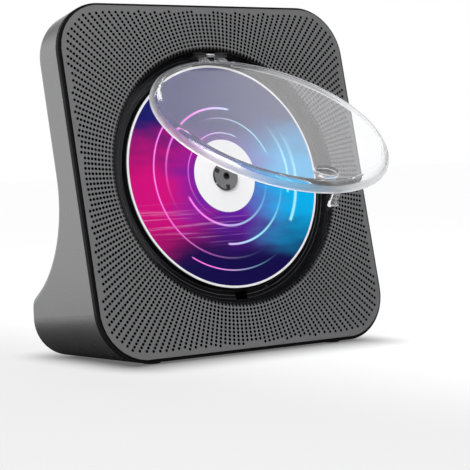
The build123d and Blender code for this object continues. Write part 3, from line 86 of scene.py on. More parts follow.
class GrilleSettings(bpy.types.PropertyGroup):
    """Sizes and colour of the perforated front."""
    hole: length("Hole diameter", "Diameter of the small holes", 1.65 * MM)
    pitch: length("Ring pitch", "Distance from one ring of holes to the next", 2.0 * MM)
    first_ring: length("First ring", "Radius of the innermost ring, along the sheet", 70 * MM)
    margin: length("Margin", "Unpunched width at the sheet's edge", 2.6 * MM)
    sheet: length("Sheet", "Thickness of the sheet", 0.3 * MM)
    lines: IntProperty(name="Radial lines", description="Holes in one ring",
                       default=200, min=60, max=240)
    paint: colour("Paint", "Powder coat of the grille", (0.158, 0.158, 0.161))


class BodySettings(bpy.types.PropertyGroup):
    """Colours of the cabinet."""
    casing: colour("Casing", "Satin metallic paint of the cabinet", (0.275, 0.275, 0.28))
    trim: colour("Trim", "Black band, rear panel and cover", (0.009, 0.009, 0.009))
    deck: colour("Deck", "Glossy black disc well", (0.006, 0.006, 0.007))
    metal: colour("Metal", "Buttons and bright metal parts", (0.55, 0.55, 0.56))


class DiscSettings(bpy.types.PropertyGroup):
    """Colours of the printed disc."""
    warm: colour("Warm", "Left side of the print", (0.58, 0.001, 0.18))
    cool: colour("Cool", "Right side of the print", (0.001, 0.40, 0.78))
    middle: colour("Middle", "Between warm and cool", (0.13, 0.01, 0.33))
    deep: colour("Deep", "Dark areas of the print", (0.006, 0.003, 0.065))
    night: colour("Night", "Dark areas near the top", (0.006, 0.006, 0.12))
    unprinted: colour("Unprinted", "White rim and centre", (0.80, 0.80, 0.81))
    rim: length("White rim", "Width of the unprinted rim", 1.2 * MM)
    label: length("Centre ring", "Radius of the white centre", 19.3 * MM)


class LidSettings(bpy.types.PropertyGroup):
    """Look of the clear lid."""
    tint: colour("Tint", "Body colour of the clear plastic", (0.93, 0.93, 0.94))
    clarity: FloatProperty(name="Clarity", description="Share of light that passes through",
                           default=0.96, min=0, max=1, subtype="FACTOR")


class StageSettings(bpy.types.PropertyGroup):
    """Floor, lights and camera."""
    floor: colour("Floor", "Share of the floor's colour that takes shadows", (0.10, 0.10, 0.10))
    bounce: colour("Bounce", "Light that the floor gives back", (0.25, 0.25, 0.25))
    key: FloatProperty(name="Key light", description="Power of the large light, front left",
                       default=12.5, min=0, unit="POWER")
    back: FloatProperty(name="Back light", description="Power of the light behind",
                        default=4.0, min=0, unit="POWER")
    sky: FloatProperty(name="Room light", description="Strength of the even room light",
                       default=0.42, min=0)


# ---------------------------------------------------------------- node helpers

class Board:
    """A node tree with short calls for adding and joining nodes."""

    def __init__(self, tree):
        self.tree = tree
        self.nodes = tree.nodes

    def add(self, kind, inputs=None, **settings):
        node = self.nodes.new("ShaderNode" + kind)
        for key, value in settings.items():
            setattr(node, key, value)
        for key, value in (inputs or {}).items():
            self.put(node.inputs[key], value)
        return node

    def put(self, socket, value):
        if isinstance(value, bpy.types.NodeSocket):
            self.tree.links.new(value, socket)
        elif isinstance(value, bpy.types.Node):
            self.tree.links.new(value.outputs[0], socket)
        elif socket.type == "RGBA" and len(value) == 3:
            socket.default_value = (*value, 1)
        else:
            socket.default_value = value

    def feed(self, node, **values):
        """Puts values in a node's inputs, whose names have _ for a space."""
        for label, value in values.items():
            self.put(node.inputs[label.replace("_", " ")], value)

    def surface(self, shader, group):
        """Feeds a shader from a surface group."""
        self.feed(shader, Base_Color=group.outputs["Colour"],
                  Roughness=group.outputs["Roughness"], Normal=group.outputs["Normal"])

    def calc(self, operation, a, b=0.0, c=0.0, clamp=False):
        node = self.add("Math", operation=operation, use_clamp=clamp)
        for socket, value in zip(node.inputs, (a, b, c)):
            self.put(socket, value)
        return node.outputs[0]

    def times(self, a, b):
        return self.calc("MULTIPLY", a, b)

    def plus(self, a, b, clamp=False):
        return self.calc("ADD", a, b, clamp=clamp)

    def minus(self, a, b, clamp=False):
        return self.calc("SUBTRACT", a, b, clamp=clamp)

    def scaled(self, value, factor, start):
        """start where value is 0, and start + factor where it is 1."""
        return self.calc("MULTIPLY_ADD", value, factor, start)

    def most(self, first, *others):
        """The largest of several values."""
        for other in others:
            first = self.calc("MAXIMUM", first, other)
        return first

    def waves(self, value, length):
        """A sine wave of the given length along value."""
        return self.calc("SINE", self.times(value, 2 * pi / length))

    def step(self, value, low, high):
        """0 below low and 1 above high, with a smooth change between them."""
        node = self.add("MapRange", {"Value": value, "From Min": low, "From Max": high},
                        interpolation_type="SMOOTHSTEP")
        return node.outputs[0]

    def mix(self, factor, a, b, blend="MIX"):
        node = self.add("Mix", data_type="RGBA", blend_type=blend)
        self.put(node.inputs[0], factor)
        self.put(node.inputs[6], a)
        self.put(node.inputs[7], b)
        return node.outputs[2]

    def place(self, centre=(0, 0, 0), turn=0.0, stretch=(1, 1, 1)):
        """Coordinates in metres from a centre, in axes turned about X."""
        coordinates = self.add("TexCoord")
        mapping = self.add("Mapping", {"Vector": coordinates.outputs["Object"]},
                           vector_type="TEXTURE")
        mapping.inputs["Location"].default_value = centre
        mapping.inputs["Rotation"].default_value = (turn, 0, 0)
        mapping.inputs["Scale"].default_value = stretch
        return mapping.outputs[0]

    def noise(self, vector, scale, detail=3.0, roughness=0.5):
        node = self.add("TexNoise", {"Vector": vector, "Scale": scale, "Detail": detail,
                                     "Roughness": roughness})
        return node.outputs[0]

    def split(self, vector):
        """X, Y and Z of a vector."""
        return self.add("SeparateXYZ", {0: vector}).outputs

    def polar(self, vector):
        """Radius, angle and height of a point about the Z axis."""
        x, y, height = self.split(vector)
        radius = self.calc("SQRT", self.plus(self.times(x, x), self.times(y, y)))
        return radius, self.calc("ARCTAN2", y, x), height

    def bump(self, height, distance):
        """The normal of a surface raised by a height of 0 to 1, times a distance."""
        return self.add("Bump", {"Height": height, "Distance": distance})


def start_group(name, inputs, outputs):
    """A node group with the given sockets, and its board."""
    tree = bpy.data.node_groups.new(name, "ShaderNodeTree")
    kinds = {"colour": "NodeSocketColor", "value": "NodeSocketFloat",
             "vector": "NodeSocketVector"}
    for label, kind, default in inputs:
        socket = tree.interface.new_socket(label, in_out="INPUT", socket_type=kinds[kind])
        if default is not None:
            socket.default_value = default
    for label, kind in outputs:
        tree.interface.new_socket(label, in_out="OUTPUT", socket_type=kinds[kind])
    board = Board(tree)
    return board, tree.nodes.new("NodeGroupInput").outputs, tree.nodes.new("NodeGroupOutput").inputs


def moulded_surface():
    """Slow tone changes, a fine grain and a little dust, for paint and plastic."""
    if "Moulded surface" in bpy.data.node_groups:
        return bpy.data.node_groups["Moulded surface"]
    board, given, result = start_group(
        "Moulded surface",
        [("Colour", "colour", (0.5, 0.5, 0.5, 1)), ("Tone change", "value", 0.06),
         ("Roughness", "value", 0.5), ("Roughness change", "value", 0.06),
         ("Grain size", "value", 0.3), ("Grain depth", "value", 0.01),
         ("Dust", "value", 0.0), ("Normal", "vector", None)],
        [("Colour", "colour"), ("Roughness", "value"), ("Normal", "vector")])
    where = board.place()
    grain = board.noise(where, board.calc("DIVIDE", 1000.0, given["Grain size"]), 2.0)
    cloud = board.noise(where, 22.0, 4.0, 0.6)
    shift = board.times(board.minus(cloud, 0.5), 2.0)
    speck = board.minus(grain, 0.5)
    tone = board.scaled(board.plus(shift, speck), given["Tone change"], 1.0)
    varied = board.add("HueSaturation", {"Value": tone, "Color": given["Colour"]})
    lint = board.step(board.noise(where, 900.0, 2.0, 0.7), 0.66, 0.80)
    up = board.split(board.add("NewGeometry").outputs["Normal"])[2]
    settled = board.times(board.times(lint, board.step(up, 0.2, 0.9)), given["Dust"])
    board.put(result["Colour"], board.mix(settled, varied.outputs[0], (0.42, 0.41, 0.39)))
    rough = board.scaled(shift, given["Roughness change"], given["Roughness"])
    board.put(result["Roughness"], board.plus(rough, board.times(settled, 0.3)))
    bump = board.add("Bump", {"Height": grain, "Normal": given["Normal"], "Strength": 1.0,
                              "Distance": board.times(given["Grain depth"], MM)})
    board.put(result["Normal"], bump)
    return board.tree


def brushed_surface():
    """Long fine scratches along one direction, for rolled and turned metal."""
    if "Brushed surface" in bpy.data.node_groups:
        return bpy.data.node_groups["Brushed surface"]
    board, given, result = start_group(
        "Brushed surface",
        [("Colour", "colour", (0.5, 0.5, 0.5, 1)), ("Vector", "vector", None),
         ("Roughness", "value", 0.3), ("Scratch", "value", 0.15)],
        [("Colour", "colour"), ("Roughness", "value"), ("Normal", "vector")])
    lines = board.noise(given["Vector"], 1.0, 5.0, 0.7)
    swing = board.times(board.minus(lines, 0.5), given["Scratch"])
    varied = board.add("HueSaturation", {"Value": board.plus(swing, 1.0),
                                         "Color": given["Colour"]})
    board.put(result["Colour"], varied)
    board.put(result["Roughness"], board.plus(swing, given["Roughness"]))
    board.put(result["Normal"], board.add("Bump", {"Height": lines, "Strength": 0.25,
                                                   "Distance": 0.02 * MM}))
    return board.tree


def light_arc():
    """A thin pale arc about the disc's centre, bright at one end and fading along it."""
    if "Light arc" in bpy.data.node_groups:
        return bpy.data.node_groups["Light arc"]
    board, given, result = start_group(
        "Light arc",
        [("Radius", "value", 0.0), ("Angle", "value", 0.0), ("Ring", "value", 0.03),
         ("Width", "value", 0.0005), ("Start", "value", 0.0), ("Span", "value", 2.0)],
        [("Mask", "value")])
    away = board.calc("ABSOLUTE", board.minus(given["Radius"], given["Ring"]))
    line = board.step(away, given["Width"], board.times(given["Width"], 0.35))
    along = board.calc("FLOORED_MODULO", board.minus(given["Angle"], given["Start"]), 2 * pi)
    part = board.calc("DIVIDE", along, given["Span"])
    tail = board.times(board.step(part, 0.0, 0.03), board.step(part, 1.0, 0.25))
    board.put(result["Mask"], board.times(line, tail))
    return board.tree


def start_material(name, **constants):
    """A material with a Principled shader that holds the given constants."""
    material = bpy.data.materials.new(name)
    material.use_nodes = True
    board = Board(material.node_tree)
    shader = board.nodes["Principled BSDF"]
    board.feed(shader, **constants)
    return material, board, shader


def reopen(material):
    """The board and shader of a finished material, and what feeds its colour."""
    board = Board(material.node_tree)
    shader = board.nodes["Principled BSDF"]
    return board, shader, shader.inputs["Base Color"].links[0].from_socket


def moulded(name, paint, roughness, tone=0.06, grain=0.3, depth=0.008, dust=0.0, edge=0.0,
            **constants):
    """Painted or moulded finish from the shared group, with softened edges if asked."""
    material, board, shader = start_material(name, **constants)
    group = board.add("Group", node_tree=moulded_surface())
    board.feed(group, Colour=paint, Roughness=roughness, Tone_change=tone, Grain_size=grain,
               Grain_depth=depth, Dust=dust)
    if edge:
        board.feed(group, Normal=board.add("Bevel", {"Radius": edge * MM}, samples=4))
    else:
        board.feed(group, Normal=board.add("NewGeometry").outputs["Normal"])
    board.surface(shader, group)
    return material


def brushed(name, paint, roughness, stretch=(0.02, 0.0004, 0.0004), scratch=0.15, **constants):
    """Bare metal finish, brushed along the long side of stretch."""
    material, board, shader = start_material(name, Metallic=1.0, **constants)
    group = board.add("Group", node_tree=brushed_surface())
    board.feed(group, Vector=board.place(stretch=stretch), Colour=paint, Roughness=roughness,
               Scratch=scratch)
    board.surface(shader, group)
    return material


def dress(material, *nodes):
    """Gives CAD nodes one material."""
    for node in nodes:
        slots = frame["nodes"][node].data.materials
        slots.clear()
        slots.append(material)


def new_piece(name, mesh, material, body):
    """A finished piece in the scene, with its material, that rides on a body."""
    piece = bpy.data.objects.new(name, mesh)
    bpy.context.scene.collection.objects.link(piece)
    mesh.materials.append(material)
    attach(piece, body)
    return piece


def panel_matrix():
    """Takes panel axes, with Z out of the grille, to the frame."""
    return Matrix.Translation(PANEL_ORIGIN) @ Matrix.Rotation(PANEL_TURN, 4, "X")


# ---------------------------------------------------------------- grille

SHEET_HALF = Vector((89.45, 92.35)) * MM  # half width and half height of the sheet
SHEET_CORNER = 25.45 * MM
LIP_START = 70.8 * MM                     # radius at which the sheet starts to roll inwards
LIP_ROLL = 4.2 * MM                       # radius of the roll
RING_COUNT = 25
CORNER_CUTS = 9                           # straight cuts that make up a round corner
HOLE_INSET = 0.2                          # first width of the web round a hole, in pitches


def edge_distance(point):
    """How far a point of the sheet lies inside its rounded outline."""
    inner = Vector((abs(point.x), abs(point.y))) - (SHEET_HALF - Vector((1, 1)) * SHEET_CORNER)
    if inner.x > 0 and inner.y > 0:
        return SHEET_CORNER - inner.length
    return SHEET_CORNER - max(inner)


def polar_point(radius, turn):
    return Vector((radius * cos(turn), radius * sin(turn), 0))


def rolled(point):
    """Bends a point of the flat sheet round the lip at the well."""
    reach = point.xy.length
    if reach >= LIP_START:
        return point
    bend = (LIP_START - reach) / LIP_ROLL
    across = point.xy.normalized() * (LIP_START - LIP_ROLL * sin(bend))
    return Vector((across.x, across.y, -LIP_ROLL * (1 - cos(bend))))


def ring_grid(bm, settings):
    """Quads in rings about the disc centre, one for each place where a hole may be."""
    radius = settings.first_ring - settings.pitch * 0.9     # the sheet's inner edge, on the roll
    bmesh.ops.create_circle(bm, segments=settings.lines, radius=radius)
    edges = list(bm.edges)
    following = settings.first_ring + settings.pitch / 2
    for _ in range(RING_COUNT):
        grown = bmesh.ops.extrude_edge_only(bm, edges=edges)["geom"]
        verts = [part for part in grown if isinstance(part, bmesh.types.BMVert)]
        outer = set(verts)
        edges = [part for part in grown
                 if isinstance(part, bmesh.types.BMEdge) and outer.issuperset(part.verts)]
        bmesh.ops.scale(bm, verts=verts, vec=Vector((1, 1, 1)) * following / radius)
        radius = following
        following += settings.pitch


class PLAYER_OT_grille(bpy.types.Operator):
    """Make the perforated front with its rolled lip round the disc well"""
    bl_idname = "player.grille"
    bl_label = "Perforated Grille"

    lip = (0.004, 0.004, 0.004)           # painted shade: the roll is coloured near black, as the well's shadow

    def execute(self, context):
        settings = context.scene.player_grille
        paint = self.powder_coat_and_lip_shade(settings)
        bm = bmesh.new()
        ring_grid(bm, settings)
        self.punch(bm, settings)
        self.trim_outline(bm)
        for vert in bm.verts:
            vert.co = rolled(vert.co)
        bmesh.ops.transform(bm, matrix=panel_matrix(), verts=bm.verts)
        bm.normal_update()
        if sum(face.normal.dot(OUTWARD) for face in bm.faces) < 0:
            bmesh.ops.reverse_faces(bm, faces=bm.faces)
        mesh = bpy.data.meshes.new("perforated_grille")
        bm.to_mesh(mesh)
        bm.free()
        piece = new_piece("perforated_grille", mesh, paint, "cabinet")
        # painted shade: the hole walls and the sheet's edge are near black, as if in shadow
        mesh.materials.append(moulded("Punched edges", (0.002, 0.002, 0.002), 0.9, grain=0.2,
                                      Specular_IOR_Level=0.0))
        wall = piece.modifiers.new("Sheet", "SOLIDIFY")
        wall.thickness = settings.sheet
        wall.offset = -1
        wall.material_offset_rim = 1
        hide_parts("front_grille")
        return {"FINISHED"}

    def punch(self, bm, settings):
        """Opens a round hole of eight sides in each quad that lies well inside the outline."""
        first, pitch = settings.first_ring, settings.pitch
        punched = [face for face in bm.faces
                   if edge_distance(face.calc_center_median()) > settings.margin]
        bmesh.ops.inset_individual(bm, faces=punched, thickness=pitch * HOLE_INSET)
        rims = list({edge for face in punched for edge in face.edges})
        bmesh.ops.delete(bm, geom=punched, context="FACES_ONLY")
        bmesh.ops.subdivide_edges(bm, edges=rims, cuts=1)
        # only the holes' own corners move, not the sheet's inner and outer edges
        inside, outside = first - pitch * 0.4, first + pitch * (RING_COUNT - 0.6)
        for vert in list(bm.verts):
            if any(edge.is_boundary for edge in vert.link_edges):
                if inside < vert.co.xy.length < outside:
                    self.round_off(vert, settings)

    def round_off(self, vert, settings):
        """Moves a corner or side middle of a square hole to the round hole's edge."""
        step = 2 * pi / settings.lines
        ring = round((vert.co.xy.length - settings.first_ring) / settings.pitch)
        line = (round(atan2(vert.co.y, vert.co.x) / step - 0.5) + 0.5) * step
        centre = polar_point(settings.first_ring + ring * settings.pitch, line)
        local = Matrix.Rotation(-line, 3, "Z") @ (vert.co - centre)
        middle = 0.15 * settings.pitch
        signs = [0 if abs(a) < middle else copysign(1, a) for a in local.xy]
        vert.co = centre + polar_point(settings.hole / 2, line + atan2(signs[1], signs[0]))

    def powder_coat_and_lip_shade(self, settings):
        """Charcoal powder coat, with a painted shade that turns it near black on the lip round the
        well.
        """
        material = moulded("Grille powder coat", settings.paint, 0.5, tone=0.05, grain=0.12,
                           depth=0.012, Specular_IOR_Level=0.2)
        board, shader, coat = reopen(material)
        radius = board.polar(board.place(PANEL_ORIGIN, PANEL_TURN))[0]
        # painted shade on the rolled lip: near black inside the flat face
        open_face = board.step(radius, LIP_START - 1.8 * MM, LIP_START + 0.1 * MM)
        board.feed(shader, Base_Color=board.mix(open_face, self.lip, coat))
        return material

    def trim_outline(self, bm):
        """Cuts the sheet to its rectangle with round corners."""
        corner = SHEET_HALF - Vector((1, 1)) * SHEET_CORNER
        for across, upward in ((1, 1), (-1, 1), (-1, -1), (1, -1)):
            base = Vector((across * corner.x, upward * corner.y, 0))
            for cut in range(CORNER_CUTS + 1):
                turn = pi / 2 * cut / CORNER_CUTS
                facing = Vector((across * cos(turn), upward * sin(turn), 0))
                bmesh.ops.bisect_plane(bm, geom=bm.verts[:] + bm.edges[:] + bm.faces[:],
                                       dist=1e-6, plane_co=base + facing * SHEET_CORNER,
                                       plane_no=facing, clear_outer=True)


# ---------------------------------------------------------------- cabinet

class PLAYER_OT_cabinet(bpy.types.Operator):
    """Finish the shell, the black trim, the feet and the screws"""
    bl_idname = "player.cabinet"
    bl_label = "Cabinet"

    thread = 0.5 * MM                     # from one thread of the acoustic cloth to the next

    def execute(self, context):
        body = context.scene.player_body
        dress(moulded("Casing satin paint", body.casing, 0.27, tone=0.04, grain=0.16, depth=0.003,
                      dust=0.25, edge=0.25, Specular_IOR_Level=0.5, Metallic=0.9),
              "cabinet_shell")
        dress(moulded("Trim black plastic", body.trim, 0.45, tone=0.2, grain=0.25, depth=0.01,
                      edge=0.2, Specular_IOR_Level=0.1),
              "front_housing", "rear_port_panel", "bottom_cover", "battery_holder")
        dress(self.cloth(), "acoustic_cloth")
        dress(moulded("Rubber feet", (0.018, 0.018, 0.018), 0.8, tone=0.25, grain=0.4,
                      depth=0.03, dust=0.3, edge=0.3),
              "rubber_feet", "isolation_grommets", "turntable_pad")
        dress(brushed("Blackened screw steel", (0.035, 0.035, 0.036), 0.4, (0.001,) * 3, 0.3),
              "cover_screws", "housing_screws", "m2_screws", "speaker_screws", "lid_hinge_pin")
        return {"FINISHED"}

    def cloth(self):
        """Black acoustic cloth with a plain weave."""
        material, board, shader = start_material("Acoustic cloth", Specular_IOR_Level=0.0)
        x, y, _ = board.split(board.place(PANEL_ORIGIN, PANEL_TURN))
        weave = board.times(board.waves(x, self.thread), board.waves(y, self.thread))
        black = board.mix(board.step(weave, -1, 1), (0.001, 0.001, 0.001), (0.004, 0.004, 0.004))
        board.feed(shader, Base_Color=black, Roughness=board.scaled(weave, 0.05, 0.9),
                   Normal=board.bump(weave, 0.1 * MM))
        return material


# ---------------------------------------------------------------- deck and drive

class PLAYER_OT_deck(bpy.types.Operator):
    """Finish the disc well, the hub and the disc drive"""
    bl_idname = "player.deck"
    bl_label = "Disc Well and Drive"

    # radius in millimetres and brightness of each painted highlight line along a step of the ring
    steps = ((61.3, 0.08), (63.5, 0.10), (65.5, 0.03))

    def execute(self, context):
        body = context.scene.player_body
        gloss = moulded("Deck gloss black", body.deck, 0.16, tone=0.2, grain=1.2, depth=0.004,
                        dust=0.1, edge=0.3, Specular_IOR_Level=0.3)
        self.paint_step_highlights(gloss)
        dress(gloss, "disc_well", "turntable", "latch_housing")
        dress(self.hub(), "spindle_hub")
        dress(brushed("Bright steel", body.metal, 0.22), "guide_rods", "chucking_balls",
              "lid_spring", "latch_spring", "mechanism_screws")
        dress(brushed("Zinc plated sheet", (0.42, 0.42, 0.40), 0.38, (0.006, 0.006, 0.001), 0.3),
              "mechanism_chassis", "spindle_motor", "sled_motor")
        dress(moulded("Acetal white", (0.55, 0.54, 0.50), 0.4, tone=0.05, grain=0.6, edge=0.1,
                      Subsurface_Weight=0.05),
              "sled_gear", "sled_pinion")
        dress(moulded("Acetal black", (0.014, 0.014, 0.014), 0.35, tone=0.1, grain=0.5, edge=0.1),
              "latch_slider", "lid_switch_plunger")
        dress(moulded("Pickup cast black", (0.02, 0.02, 0.022), 0.35, grain=0.4, depth=0.01,
                      edge=0.15, Metallic=0.6), "pickup_body")
        dress(self.lens(), "objective_lens")
        return {"FINISHED"}

    def paint_step_highlights(self, material):
        """Painted highlights: lighter lines along the steps of the ring."""
        board, shader, black = reopen(material)
        radius = board.polar(board.place(PANEL_ORIGIN, PANEL_TURN))[0]
        for ring, tone in self.steps:
            away = board.calc("ABSOLUTE", board.minus(radius, ring * MM))
            # painted highlight along this step
            painted_line = board.times(board.step(away, 0.3 * MM, 0.1 * MM), tone)
            black = board.mix(painted_line, black, (0.5, 0.5, 0.5))
        board.feed(shader, Base_Color=black)

    def hub(self):
        """Grey top face on a black hub."""
        material, board, shader = start_material("Hub two tone")
        radius, _, height = board.polar(board.place(PANEL_ORIGIN, PANEL_TURN))
        shaft, face = 2.0 * MM, -1.8 * MM
        top = board.times(board.step(height, face - 0.1 * MM, face + 0.05 * MM),
                          board.step(radius, shaft - 0.1 * MM, shaft + 0.1 * MM))
        cloud = board.noise(board.place(), 1500.0, 3.0)
        grey = board.mix(cloud, (0.11, 0.11, 0.115), (0.16, 0.16, 0.165))
        board.feed(shader, Base_Color=board.mix(top, (0.006, 0.006, 0.006), grey),
                   Roughness=board.scaled(cloud, 0.2, 0.25),
                   Normal=board.add("Bevel", {"Radius": 0.2 * MM}, samples=4))
        return material

    def lens(self):
        """Coated glass of the pickup lens."""
        material, board, shader = start_material("Pickup lens", IOR=1.6, Coat_Weight=1.0,
                                                 Metallic=0.0)
        facing = board.add("LayerWeight", {"Blend": 0.4}).outputs["Facing"]
        haze = board.noise(board.place(), 2500.0)
        tint = board.mix(haze, (0.03, 0.08, 0.22), (0.06, 0.05, 0.25))
        board.feed(shader, Base_Color=board.mix(facing, tint, (0.30, 0.10, 0.45)),
                   Roughness=board.scaled(haze, 0.04, 0.03))
        return material


class PLAYER_OT_disc(bpy.types.Operator):
    """Finish the disc with a printed face, a white rim and a silver back"""
    bl_idname = "player.disc"
    bl_label = "Disc"

    # ring radius and half width in millimetres, start angle and span in degrees, of each pale arc
    arcs = ((26.5, 0.8, 200, 170), (31.0, 0.45, 20, 105), (36.5, 0.8, 75, 140),
            (36.5, 0.8, 262, 100), (44.0, 0.6, 130, 170), (46.2, 1.3, 325, 75),
            (50.5, 0.5, 235, 70), (23.0, 0.4, 60, 200), (41.0, 1.0, 345, 60))
    # where each colour starts and is full, across and up from the centre
    middle_from = (-42 * MM, -8 * MM)
    cool_from = (2 * MM, 40 * MM)
    dark_below = (-18 * MM, -50 * MM)
    dark_above = (2 * MM, 32 * MM)
    disc_edge = 60 * MM                   # radius of the disc
    back_face = -3.6 * MM                 # just in front of the disc's silver side
    wave_size = 46 * MM                   # how far the clouds move the colours
    streak_height = -26 * MM              # where the pale streaks are brightest

    def execute(self, context):
        disc = context.scene.player_disc
        material, board, shader = start_material("Printed disc", Specular_IOR_Level=0.1)
        where = board.place(PANEL_ORIGIN, PANEL_TURN)
        radius, angle, height = board.polar(where)
        x, y, _ = board.split(where)
        ink = self.clouds(board, disc, x, y)
        ink = self.streaks(board, ink, x, y)
        ink = self.light_arcs(board, ink, radius, angle, x)
        bare = self.disc_edge - disc.rim
        white = board.most(board.step(radius, bare, bare + 0.05 * MM),
                           board.step(radius, disc.label, disc.label - 0.1 * MM))
        ink = board.mix(white, ink, disc.unprinted)
        front = board.step(height, self.back_face, self.back_face + 0.3 * MM)
        around = board.add("CombineXYZ", {0: angle, 1: height})
        rainbow = board.add("TexNoise", {"Vector": around, "Scale": 1.4}).outputs[1]
        silver = board.mix(0.25, (0.62, 0.62, 0.66), rainbow)
        smear = board.noise(where, 90.0, 4.0)
        board.feed(shader, Base_Color=board.mix(front, silver, ink),
                   Metallic=board.minus(1.0, front), Roughness=board.scaled(smear, 0.12, 0.28))
        dress(material, "compact_disc")
        return {"FINISHED"}

    def clouds(self, board, disc, x, y):
        """Warm to cool from left to right, dark at the top and the bottom."""
        cloud = board.noise(board.place(PANEL_ORIGIN, PANEL_TURN, (3, 1, 1)), 60.0, 3.0)
        wave = board.times(board.minus(cloud, 0.5), self.wave_size)
        across = board.plus(x, wave)
        ink = board.mix(board.step(across, *self.middle_from), disc.warm, disc.middle)
        ink = board.mix(board.step(across, *self.cool_from), ink, disc.cool)
        level = board.plus(y, board.times(wave, 0.8))
        dark = board.most(board.step(level, *self.dark_below),
                          board.step(level, *self.dark_above))
        upper = board.step(y, 0.0, 20 * MM)
        return board.mix(dark, ink, board.mix(upper, disc.deep, disc.night))

    def streaks(self, board, ink, x, y):
        """Long thin streaks of light on the lower left."""
        drawn_out = board.place(PANEL_ORIGIN, PANEL_TURN, (0.09, 0.0016, 1))
        glow = board.step(board.noise(drawn_out, 1.0, 4.0, 0.6), 0.52, 0.72)
        away = board.calc("ABSOLUTE", board.minus(y, self.streak_height))
        glow = board.times(glow, board.step(away, 15 * MM, 2 * MM))
        glow = board.times(glow, board.step(x, 18 * MM, -14 * MM))
        return board.mix(board.times(glow, 0.55), ink, (0.95, 0.55, 0.95), "SCREEN")

    def light_arcs(self, board, ink, radius, angle, x):
        """Pale arcs, pink on the left and light blue on the right."""
        tint = board.mix(board.step(x, -20 * MM, 20 * MM), (1.0, 0.22, 0.90), (0.35, 0.85, 1.0))
        for ring, half, start, span in self.arcs:
            arc = board.add("Group", node_tree=light_arc())
            board.feed(arc, Radius=radius, Angle=angle, Ring=ring * MM, Width=half * MM,
                       Start=radians(start), Span=radians(span))
            ink = board.mix(board.times(arc.outputs[0], 0.95), ink, tint)
        return ink


# ---------------------------------------------------------------- lid

class PLAYER_OT_lid(bpy.types.Operator):
    """Finish the clear lid"""
    bl_idname = "player.lid"
    bl_label = "Clear Lid"

    round_wall = (61 * MM, 62.5 * MM)     # radii between which the face turns into the wall
    wall_top, wall_bottom = -1.0 * MM, -6.0 * MM
    knuckles = 63.5 * MM                  # from the lid's centre up to the hinge knuckles

    def execute(self, context):
        lid = context.scene.player_lid
        material, board, shader = start_material("Lid clear plastic", IOR=1.49, Metallic=0.0,
                                                 Transmission_Weight=lid.clarity)
        where = board.place(LID_CENTRE, LID_TURN)
        haze = board.noise(where, 35.0, 4.0)
        plastic = board.mix(haze, lid.tint, [min(1.0, c * 1.05) for c in lid.tint])
        # painted shade: the hinge knuckles of the clear lid are tinted dark grey
        painted_knuckle_shade = board.step(board.split(where)[1], self.knuckles, self.knuckles + 0.5 * MM)
        radius, _, height = board.polar(where)
        wall = board.times(board.step(radius, *self.round_wall),
                           board.step(height, self.wall_top, self.wall_top - 1.5 * MM))
        wall = board.times(wall, board.step(height, self.wall_bottom, self.wall_bottom + 0.4 * MM))
        shadow = board.add("LightPath").outputs["Is Shadow Ray"]
        board.feed(shader, Base_Color=board.mix(painted_knuckle_shade, plastic, (0.07, 0.07, 0.08)),
                   Roughness=board.scaled(wall, 0.45, board.times(haze, 0.006)),
                   Alpha=board.scaled(shadow, -0.75, 1.0))
        dress(material, "lid")
        return {"FINISHED"}


# ---------------------------------------------------------------- controls and inside

class PLAYER_OT_controls(bpy.types.Operator):
    """Finish the buttons, sockets and switch"""
    bl_idname = "player.controls"
    bl_label = "Buttons and Sockets"

    def execute(self, context):
        caps = moulded("Button satin grey", (0.20, 0.20, 0.205), 0.32, tone=0.04, grain=0.12,
                       depth=0.004, edge=0.3, Metallic=0.5)
        dress(caps, "power_button", "previous_button", "play_button", "next_button",
              "volume_down_button", "volume_up_button")
        dress(brushed("Nickel socket shells", (0.60, 0.59, 0.57), 0.25, (0.004, 0.0005, 0.004)),
              "usb_port", "usb_c_socket", "power_switch_body")
        dress(moulded("Socket black", (0.01, 0.01, 0.01), 0.35, tone=0.2, edge=0.1),
              "audio_jacks", "power_switch_slider", "lid_switch", "tact_switches", "ir_receiver",
              "board_components")
        return {"FINISHED"}


